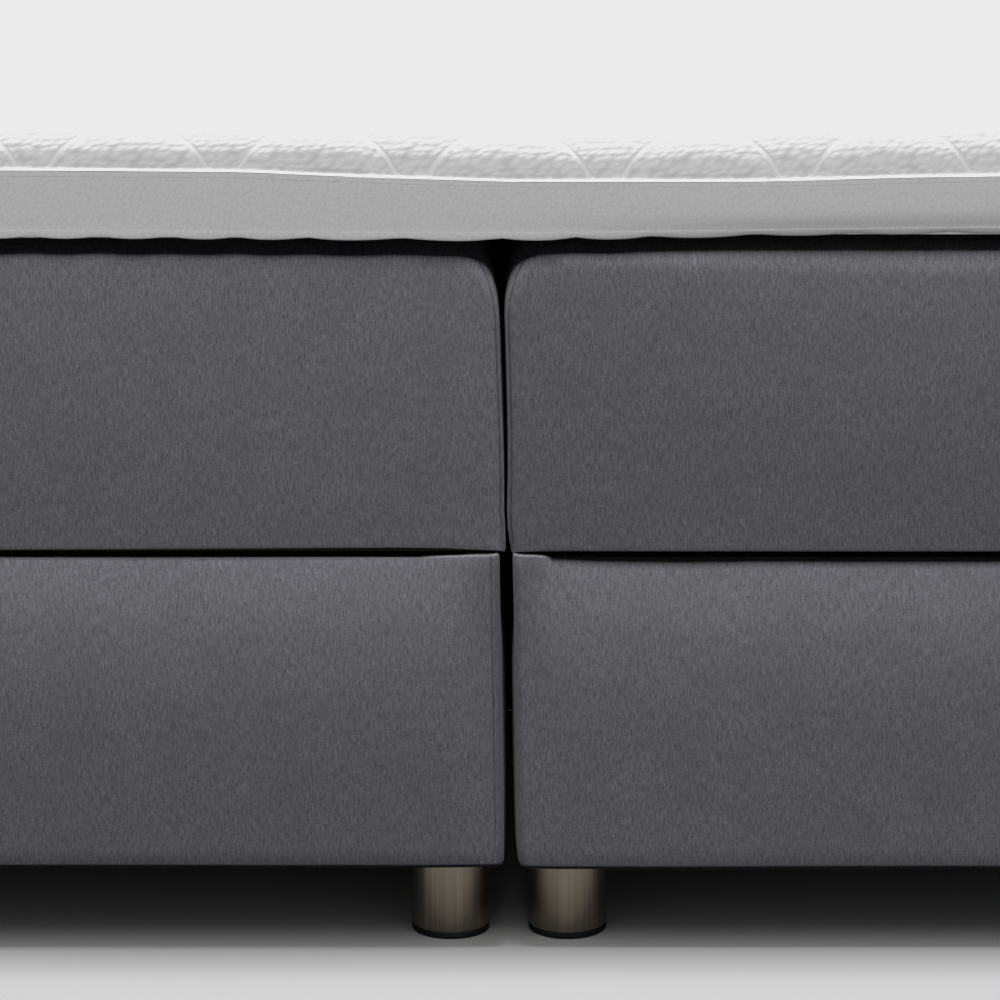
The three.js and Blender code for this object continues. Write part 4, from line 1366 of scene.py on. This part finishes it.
# %% Model the tape
tape_thickness = 2 * mm
tape_rows = [-3.2 * mm, -0.3 * mm, 0.3 * mm, 3.2 * mm]
tape_gap = 0.4 * mm
tape_groove = 0.8 * mm
zip_middle = (zip_low.z + zip_high.z) / 2
tape_y = zip_low.y + tape_thickness
tape = add_block("topper_zip_tape_cloth", zip_low, (zip_high.x, tape_y, zip_high.z))
slice_across(tape, 2, [zip_middle + row for row in tape_rows])
points = read_points(tape)
in_gap = (points[:, 1] > zip_low.y + tiny) & (np.abs(points[:, 2] - zip_middle) < tape_gap)
points[in_gap, 1] -= tape_groove
write_points(tape, points)
finish_piece(tape, zip_cloth, "topper", ["topper_zip_tape"])


# %% Repeat one loop as the coil
def repeat_along(piece, step, count):
    row = piece.modifiers.new("row", "ARRAY")
    row.use_relative_offset = False
    row.use_constant_offset = True
    row.constant_offset_displace = step
    row.count = count
    apply_modifiers(piece)


coil_pitch = 1.5 * mm
coil_wire = 0.45 * mm
coil_height = 3 * mm
coil_margin = 5 * mm
coil_tip = 0.2 * mm
above_tape = 0.2 * mm
bpy.ops.object.select_all(action="DESELECT")
coil_start = (zip_low.x + coil_margin, tape_y + above_tape, zip_middle)
bpy.ops.mesh.primitive_cylinder_add(vertices=6, radius=coil_wire, depth=coil_height, location=coil_start)
coil = take_new("topper_zip_coil")
for end in (-1, 1):
    edit_faces(coil, lambda centre, normal: normal.z * end > straight_on)
    bpy.ops.mesh.inset(thickness=coil_tip)
    bpy.ops.transform.translate(value=(0, 0, end * coil_tip))
    leave_edit()
repeat_along(coil, (coil_pitch, 0, 0), round((zip_high.x - zip_low.x - 2 * coil_margin) / coil_pitch))
finish_piece(coil, zip_cloth, "topper", ["topper_zip_tape"], smooth_angle=60)

# %% Model the zip's slider
body_length = 14 * mm
body_corner = 3 * mm
body_round = 0.6 * mm
body_wall = 1.2 * mm
body_depth = 1.4 * mm
pull_overlap = 2 * mm
pull_width = 5 * mm
pull_thickness = 1.2 * mm
pull_corner = 2.2 * mm
pull_round = 0.2 * mm
deep_edge = 1 * mm

slider_low, slider_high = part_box("topper_zip_slider")
body_end = slider_low.x + body_length
slider = add_block("zip_slider_body", slider_low, (body_end, slider_high.y, slider_high.z))
round_edges(slider, lambda a, b: abs(a.y - b.y) > deep_edge, body_corner, 4)
round_edges(slider, lambda a, b: min(a.y, b.y) > slider_high.y - tiny, body_round, 2)
edit_faces(slider, lambda centre, normal: normal.y < -straight_on)
bpy.ops.mesh.inset(thickness=body_wall)
bpy.ops.transform.translate(value=(0, body_depth, 0))
leave_edit()
pull_low = (body_end - pull_overlap, slider_high.y - pull_thickness, zip_middle - pull_width / 2)
pull = add_block("zip_pull", pull_low, (slider_high.x, slider_high.y, zip_middle + pull_width / 2))
round_edges(pull, lambda a, b: abs(a.y - b.y) > deep_edge, pull_corner, 5)
round_edges(pull, lambda a, b: abs(a.y - b.y) < tiny, pull_round, 1)
for piece in (slider, pull):
    finish_piece(piece, zinc_steel, "zip_slider", ["topper_zip_slider"])

# %% [markdown]
# ## Legs, glides and plates
# A leg is a piece of tube with a plate and a threaded stud on top, and a plastic glide pressed in
# below. Both are turned shapes, so a profile spun round its axis would do. A cylinder whose rims are
# bevelled is quicker, and 96 sides keep its outline round in close views.

# %% Helpers for round parts and for finishing the frame
tube_sides = 96
small_sides = 24


def add_round(name, centre, radius, low_z, high_z, sides=tube_sides):
    bpy.ops.object.select_all(action="DESELECT")
    bpy.ops.mesh.primitive_cylinder_add(
        vertices=sides, radius=radius, depth=high_z - low_z, location=(*centre, (low_z + high_z) / 2))
    return take_new(name)


def draw_in(points, centre, share):
    """Leaves each point that share of its distance from an upright axis."""
    points[:, :2] = centre + (points[:, :2] - centre) * share[:, None]


def finish_node(name, material):
    """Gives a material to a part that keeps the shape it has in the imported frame."""
    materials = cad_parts[name].data.materials
    materials.clear()
    materials.append(material)


# %% Sizes of the legs and glides
leg_corners = [f"{end}_{edge}" for end in ("foot", "head") for edge in ("inner", "outer")]
leg_top = 67 * mm
leg_radius = 30 * mm
leg_top_round = 1 * mm
leg_foot_round = 0.8 * mm
weld_groove = 3 * mm
weld_height = 0.5 * mm
weld_share = 0.988
stud_radius = 4 * mm
stud_margin = 1 * mm
stud_sunk = 0.5 * mm
thread_pitch = 1.4 * mm
thread_rows = 0.7 * mm
thread_depth = 0.12
glide_top = 5 * mm
glide_foot_round = 1.5 * mm
glide_top_round = 0.4 * mm


# %% Model a leg, its stud and its glide
def model_leg(spot, centre, low_z):
    leg = add_round(f"{spot}_leg_tube", centre, leg_radius, low_z, leg_top)
    slice_across(leg, 2, [leg_top - weld_groove - weld_height, leg_top - weld_groove])
    points = read_points(leg)
    weld_z = leg_top - weld_groove - weld_height / 2
    at_weld = np.abs(points[:, 2] - weld_z) < weld_height / 2 + 5 * tiny
    draw_in(points, centre, np.where(at_weld, weld_share, 1))
    write_points(leg, points)
    round_rim(leg, leg_top, leg_top_round, 3)
    round_rim(leg, low_z, leg_foot_round, 2)
    return leg


def model_stud(spot, centre, high_z):
    stud = add_round(f"{spot}_leg_stud", centre, stud_radius, leg_top - stud_sunk, high_z, small_sides)
    slice_across(stud, 2, even_places(leg_top + stud_margin, high_z - stud_margin, thread_rows))
    points = read_points(stud)
    turn = np.arctan2(points[:, 1] - centre[1], points[:, 0] - centre[0]) / math.tau
    thread = np.abs(((points[:, 2] / thread_pitch - turn) % 1) * 2 - 1)
    draw_in(points, centre, 1 - thread_depth * thread)
    write_points(stud, points)
    return stud


def model_glide(spot, centre):
    low_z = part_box(f"{spot}_glide")[0].z
    glide = add_round(f"{spot}_glide_disc", centre, leg_radius, low_z, glide_top)
    round_rim(glide, low_z, glide_foot_round, 3)
    round_rim(glide, glide_top, glide_top_round, 2)
    finish_piece(glide, black_plastic, "bed_base", [f"{spot}_glide"], smooth_angle=40)

# %% Put a leg at every corner
for half, side in halves:
    for corner in leg_corners:
        spot = f"base_{half}_{corner}"
        low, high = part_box(f"{spot}_leg")
        centre = ((low.x + high.x) / 2, (low.y + high.y) / 2)
        for piece in (model_leg(spot, centre, low.z), model_stud(spot, centre, high.z)):
            finish_piece(piece, bronzed_steel, "bed_base", [f"{spot}_leg"], smooth_angle=40)
        model_glide(spot, centre)

# %% Finish the connector plates and add their screw heads
screw_radius = 4.4 * mm
screw_height = 2.2 * mm
screw_round = 1.4 * mm
screw_sunk = 0.1 * mm
screw_from_end = 18 * mm
screw_from_middle = 10 * mm

for end in ("foot", "head"):
    name = f"connector_plate_{end}"
    finish_node(name, zinc_steel)
    low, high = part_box(name)
    middle = (low.y + high.y) / 2
    lowest = low.z - screw_height
    screw_z = (lowest, low.z + screw_sunk)
    for x in (low.x + screw_from_end, high.x - screw_from_end):
        for y in (middle - screw_from_middle, middle + screw_from_middle):
            screw = add_round(f"{name}_screw", (x, y), screw_radius, *screw_z, small_sides)
            round_rim(screw, lowest, screw_round, 4)
            finish_piece(screw, zinc_steel, "bed_base", [])

# %% [markdown]
# ## Foam and springs in the bases
# The covers hide the parts that carry the load. A pocket spring block is rows of fleece barrels, each
# with a coil inside, glued side by side. All barrels are the same, so one is modelled and array
# modifiers repeat it along both directions. The foam hood is a cut block, and it follows the shape
# of the cover, because it is the foam that gives the cover its shape.

# %% Model a block of spring pockets
pocket_pitch = 80 * mm
pocket_sides = 10
pocket_seam = 8 * mm
pocket_seam_share = 0.8


def fill_with_pockets(name, low, high):
    """A block of spring pockets that just fills the space from low to high."""
    counts = [round((high[axis] - low[axis]) / pocket_pitch) for axis in (0, 1)]
    pitches = [(high[axis] - low[axis]) / counts[axis] for axis in (0, 1)]
    centre = (low.x + pitches[0] / 2, low.y + pitches[1] / 2)
    block = add_round(name, centre, pitches[0] / 2, low.z, high.z, pocket_sides)
    slice_across(block, 2, [low.z + pocket_seam, high.z - pocket_seam])
    points = read_points(block)
    at_seam = (points[:, 2] < low.z + tiny) | (points[:, 2] > high.z - tiny)
    draw_in(points, centre, np.where(at_seam, pocket_seam_share, 1))
    points[:, 1] = centre[1] + (points[:, 1] - centre[1]) * pitches[1] / pitches[0]
    write_points(block, points)
    for axis in (0, 1):
        repeat_along(block, all_axes[axis] * pitches[axis], counts[axis])
    return block


# %% Model a foam hood
hood_wall = 28 * mm
hood_top = 22 * mm
hood_drops = [60 * mm, 45 * mm, 30 * mm, 18 * mm, 8 * mm]
hood_skin = 10 * mm
hood_round = 6 * mm
hood_curve = 1.7
slice_inset = 200 * mm


def model_hood(half, side):
    low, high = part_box(f"base_{half}_foam_hood")
    hood = add_block(f"base_{half}_foam", low, high)
    edit_faces(hood, lambda centre, normal: normal.z < -straight_on)
    bpy.ops.mesh.inset(thickness=hood_wall)
    upward = (0, 0, high.z - low.z - hood_top)
    bpy.ops.mesh.extrude_region_move(TRANSFORM_OT_translate={"value": upward})
    leave_edit()
    slice_across(hood, 2, [high.z - drop for drop in hood_drops])
    slice_across(hood, 0, [low.x + slice_inset, high.x - slice_inset])
    round_rim(hood, high.z, hood_round, 2)
    points = read_points(hood)
    centre_x = (low.x + high.x) / 2
    half_width = high.x - centre_x
    at_end = np.abs(points[:, 1]) > high.y - hood_skin
    outer = at_end | (np.abs(points[:, 0] - centre_x) > half_width - hood_skin)
    rising = np.clip((points[:, 2] - (high.z - shoulder_height)) / shoulder_height, 0, 1)
    drawn_in = shoulder_inset[half] * rising ** hood_curve * outer
    points[:, 0] -= (points[:, 0] - centre_x) * drawn_in / half_width
    points[:, 1] -= np.sign(points[:, 1]) * at_end * drawn_in
    points[:, 2] -= shoulder_drop[half] * outer * rising ** 2
    lean_inner_side(points, centre_x, side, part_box(f"base_{half}_sleeve")[0].z, base_lean[half])
    write_points(hood, points)
    return hood


# %% Model a dust cover with its stud holes
dust_pitch = 120 * mm
stud_hole = 6 * mm
cutter_margin = 2 * mm


def model_dust_cover(half, low, high):
    dust = add_block(f"base_{half}_dust_cloth", low, high)
    slice_evenly(dust, low, high, dust_pitch)
    for corner in leg_corners:
        leg_low, leg_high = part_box(f"base_{half}_{corner}_leg")
        centre = (leg_low + leg_high) / 2
        cutter_z = (low.z - cutter_margin, high.z + cutter_margin)
        cutter = add_round("stud_hole", centre[:2], stud_hole, *cutter_z, small_sides)
        hole = dust.modifiers.new("hole", "BOOLEAN")
        hole.operation = "DIFFERENCE"
        hole.object = cutter
        apply_modifiers(dust)
        bpy.data.objects.remove(cutter)
    lay_cloth(dust)
    return dust


# %% Fill the bases
for half, side in halves:
    name = f"base_{half}"
    hood = model_hood(half, side)
    finish_piece(hood, foam, "bed_base", [f"{name}_foam_hood"])

    springs = fill_with_pockets(f"{name}_pocket_springs", *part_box(f"{name}_spring_unit"))
    finish_piece(springs, fleece, "bed_base", [f"{name}_spring_unit"], smooth_angle=50)

    low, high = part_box(f"{name}_dust_cover")
    dust = model_dust_cover(half, low, high)
    finish_piece(dust, black_cloth, "bed_base", [f"{name}_dust_cover"])

# %% [markdown]
# ## Foams and springs in the mattresses
# A mattress is a sandwich: a spring core between two foams, on a base cloth. Copying the cover and
# shrinking it would carry all its seams along. Plain blocks are cut instead, and they are rounded
# and leant like the cover, so that they stay inside it.

# %% Sizes of the mattress fillings
foam_roll_width = 28 * mm
foam_roll_height = 54 * mm
foam_end_drop = 24 * mm
foam_insets = [2 * mm, 6 * mm, 12 * mm, 18 * mm, 24 * mm]
foam_corner = 3 * mm
foam_rows = [8 * mm, 16 * mm]
base_cloth_inset = 5 * mm
base_cloth_wall = 1.5 * mm
base_cloth_drift = 0.2 * mm
base_cloth_pitch = 100 * mm


# %% Model the foams
def follow_cover(piece, half, side):
    """Leans the inner side of a filling as its cover leans."""
    low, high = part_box(f"mattress_{half}_cover_wrap")
    points = read_points(piece)
    points[:, 1] *= 1 - (end_recess + top_recess.max()) / high.y
    lean_inner_side(points, (low.x + high.x) / 2, side, low.z, mattress_lean[half])
    write_points(piece, points)


def model_top_foam(half):
    low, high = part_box(f"mattress_{half}_top_foam")
    centre_x = (low.x + high.x) / 2
    upper = add_block(f"mattress_{half}_comfort_foam", low, high)
    round_edges(upper, lambda a, b: min(a.z, b.z) > high.z - tiny and abs(a.x - b.x) < tiny,
                foam_roll_height, 8)
    points = read_points(upper)
    across = (high.x - low.x) / 2 - np.abs(points[:, 0] - centre_x)
    rolled = across < foam_roll_height + tiny
    squeeze = across * (1 - foam_roll_width / foam_roll_height)
    points[rolled, 0] += (np.sign(points[:, 0] - centre_x) * squeeze)[rolled]
    write_points(upper, points)
    slice_across(upper, 1, [end * (high.y - inset) for end in (-1, 1) for inset in foam_insets])
    points = read_points(upper)
    drop = quarter_round(high.y - np.abs(points[:, 1]), np.full(len(points), foam_end_drop))
    points[:, 2] -= drop * (points[:, 2] - low.z) / (high.z - low.z)
    write_points(upper, points)
    return upper


def model_bottom_foam(half):
    low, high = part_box(f"mattress_{half}_bottom_foam")
    lower = add_block(f"mattress_{half}_base_foam", low, high)
    slice_across(lower, 2, [low.z + row for row in foam_rows])
    slice_across(lower, 0, [low.x + slice_inset, high.x - slice_inset])
    round_uprights(lower, foam_corner, 2)
    return lower


# %% Model the base cloth
def model_base_cloth(half, side, low, high):
    cloth = add_block(f"mattress_{half}_under_cloth", low, high)
    slice_evenly(cloth, low, high, base_cloth_pitch)
    points = read_points(cloth)
    points[:, 2] += base_cloth_drift * (drift(points * (1, 1, 0), 6, 61 + side) + 1)
    write_points(cloth, points)
    lay_cloth(cloth)
    return cloth


# %% Fill the mattresses
for half, side in halves:
    name = f"mattress_{half}"
    upper = model_top_foam(half)
    follow_cover(upper, half, side)
    finish_piece(upper, foam, name, [f"{name}_top_foam"])
    lower = model_bottom_foam(half)
    follow_cover(lower, half, side)
    finish_piece(lower, foam, name, [f"{name}_bottom_foam"])
    springs = fill_with_pockets(f"{name}_pocket_springs", *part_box(f"{name}_spring_core"))
    follow_cover(springs, half, side)
    finish_piece(springs, fleece, name, [f"{name}_spring_core"], smooth_angle=50)

    low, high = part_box(f"{name}_base_cloth")
    edge = Vector((base_cloth_inset, base_cloth_inset, 0))
    low, high = low + edge, high - edge
    high.z = low.z + base_cloth_wall
    cloth = model_base_cloth(half, side, low, high)
    finish_piece(cloth, black_cloth, name, [f"{name}_base_cloth"])

# %% [markdown]
# ## The pine frame
# Straight boards need no new model, so the frame's own parts stay and only get a finish. The grain
# runs along each board: from foot to head in the side rails, and from side to side in the others.

# %% Finish the pine frame
for half, side in halves:
    for part in ("outer_rail", "inner_rail"):
        finish_node(f"base_{half}_{part}", pine_along)
    for part in ("foot_rail", "head_rail", "slat_deck"):
        finish_node(f"base_{half}_{part}", pine_across)

# %% [markdown]
# ## Stage
# A plain pale floor and an even surround show the shape without drawing attention. The surround is
# bright where the camera sees it, dimmer in reflections and almost dark as a light, so that it
# doesn't wash out the shadows. The film curve keeps middle tones and bends only the brightest ones.

# %% Lay the floor
floor_size = 60
bpy.ops.object.select_all(action="DESELECT")
bpy.ops.mesh.primitive_plane_add(size=floor_size)
floor = take_new("studio_floor")
floor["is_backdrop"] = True
floor_paint, tree = new_material("floor_paint", Roughness=0.7)
cloudy = unevenness(tree, object_map(tree), 1.5)
link_shader(tree, blend_colours(tree, cloudy, grey(0.76), grey(0.80)))
floor.data.materials.append(floor_paint)
floor.visible_diffuse = False

# %% Surround the bed with an even brightness
seen_strength = 0.8
mirrored_strength = 0.10
lit_strength = 0.025
world = bpy.data.worlds.new("studio")
bpy.context.scene.world = world
world.use_nodes = True
sky = world.node_tree
rays = add_node(sky, "ShaderNodeLightPath").outputs
direction = add_node(sky, "ShaderNodeTexCoord").outputs["Generated"]
upward = add_node(sky, "ShaderNodeSeparateXYZ", {"Vector": direction}).outputs["Z"]
lit = between(sky, calculate(sky, "GREATER_THAN", upward, 0.0), 0, 1, 0, lit_strength)
mirrored = between(sky, rays["Is Glossy Ray"], 0, 1, lit, mirrored_strength)
seen = between(sky, rays["Is Camera Ray"], 0, 1, mirrored, seen_strength)
sky.links.new(seen, sky.nodes["Background"].inputs["Strength"])
sky.nodes["Background"].inputs["Color"].default_value = (1, 1, 1, 1)

# %% Bend the film curve
film_curve = ((0.4, 0.4), (0.74, 0.74), (0.86, 0.815))
film_white = 0.83
film = bpy.context.scene.view_settings
film.view_transform = "Standard"
film.use_curve_mapping = True
film.curve_mapping.extend = "HORIZONTAL"
curve_points = film.curve_mapping.curves[3].points
curve_points[1].location = (1, film_white)
for light_in, light_out in film_curve:
    curve_points.new(light_in, light_out)
film.curve_mapping.update()

# %% [markdown]
# ## Light
# In the picture the floor, the topper and the upholstery are each lit as they need it, as a
# retoucher would do it from several exposures. Light linking does the same: every light is given to
# one collection only. The floor has a nearly overhead sun for the soft shadow, a wide one from the
# front and a dome. The topper has a steep sun and a low one that lights its border. A long softbox
# hangs in front of the upholstery, and three weak fills keep its other sides from going black.

# %% Place the lights
lit_floor, lit_topper, lit_lower = [
    bpy.data.collections.new(name) for name in ("lit_floor", "lit_topper", "lit_lower")]

# Name, collection, tilt from upright towards the foot end, strength, spread and turn
suns = [
    ("floor_overhead", lit_floor, -2.3, 1.8, 12, 0),
    ("floor_front", lit_floor, 20, 0.42, 44, 0),
    ("floor_dome", lit_floor, 0, 0.5, 170, 0),
    ("topper_overhead", lit_topper, -27, 3.8, 30, 0),
    ("topper_front", lit_topper, 75, 1.8, 24, 0),
    ("right_fill", lit_lower, 62, 0.9, 6, 90),
    ("head_fill", lit_lower, 62, 0.9, 6, 180),
    ("left_fill", lit_lower, 62, 0.9, 6, -90),
]
for name, lit, tilt, strength, spread, turn in suns:
    bpy.ops.object.light_add(type="SUN", rotation=(math.radians(tilt), 0, math.radians(turn)))
    sun = bpy.context.object
    sun.name = name
    sun.data.energy = strength
    sun.data.angle = math.radians(spread)
    sun.light_linking.receiver_collection = lit

softbox_place = (0, -2.5, 4.15)
softbox_tilt = math.radians(22)
softbox_width = 4.5
softbox_height = 1.2
softbox_watts = 287
bpy.ops.object.light_add(type="AREA", location=softbox_place, rotation=(softbox_tilt, 0, 0))
softbox = bpy.context.object
softbox.name = "lower_softbox"
softbox.data.shape = "RECTANGLE"
softbox.data.size = softbox_width
softbox.data.size_y = softbox_height
softbox.data.energy = softbox_watts
softbox.light_linking.receiver_collection = lit_lower

# %% Give the floor and each piece to the collection of its lights
lit_floor.objects.link(floor)
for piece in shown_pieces():
    (lit_topper if piece.name.startswith(("topper", "zip")) else lit_lower).objects.link(piece)
lit_lower.objects.link(piping)
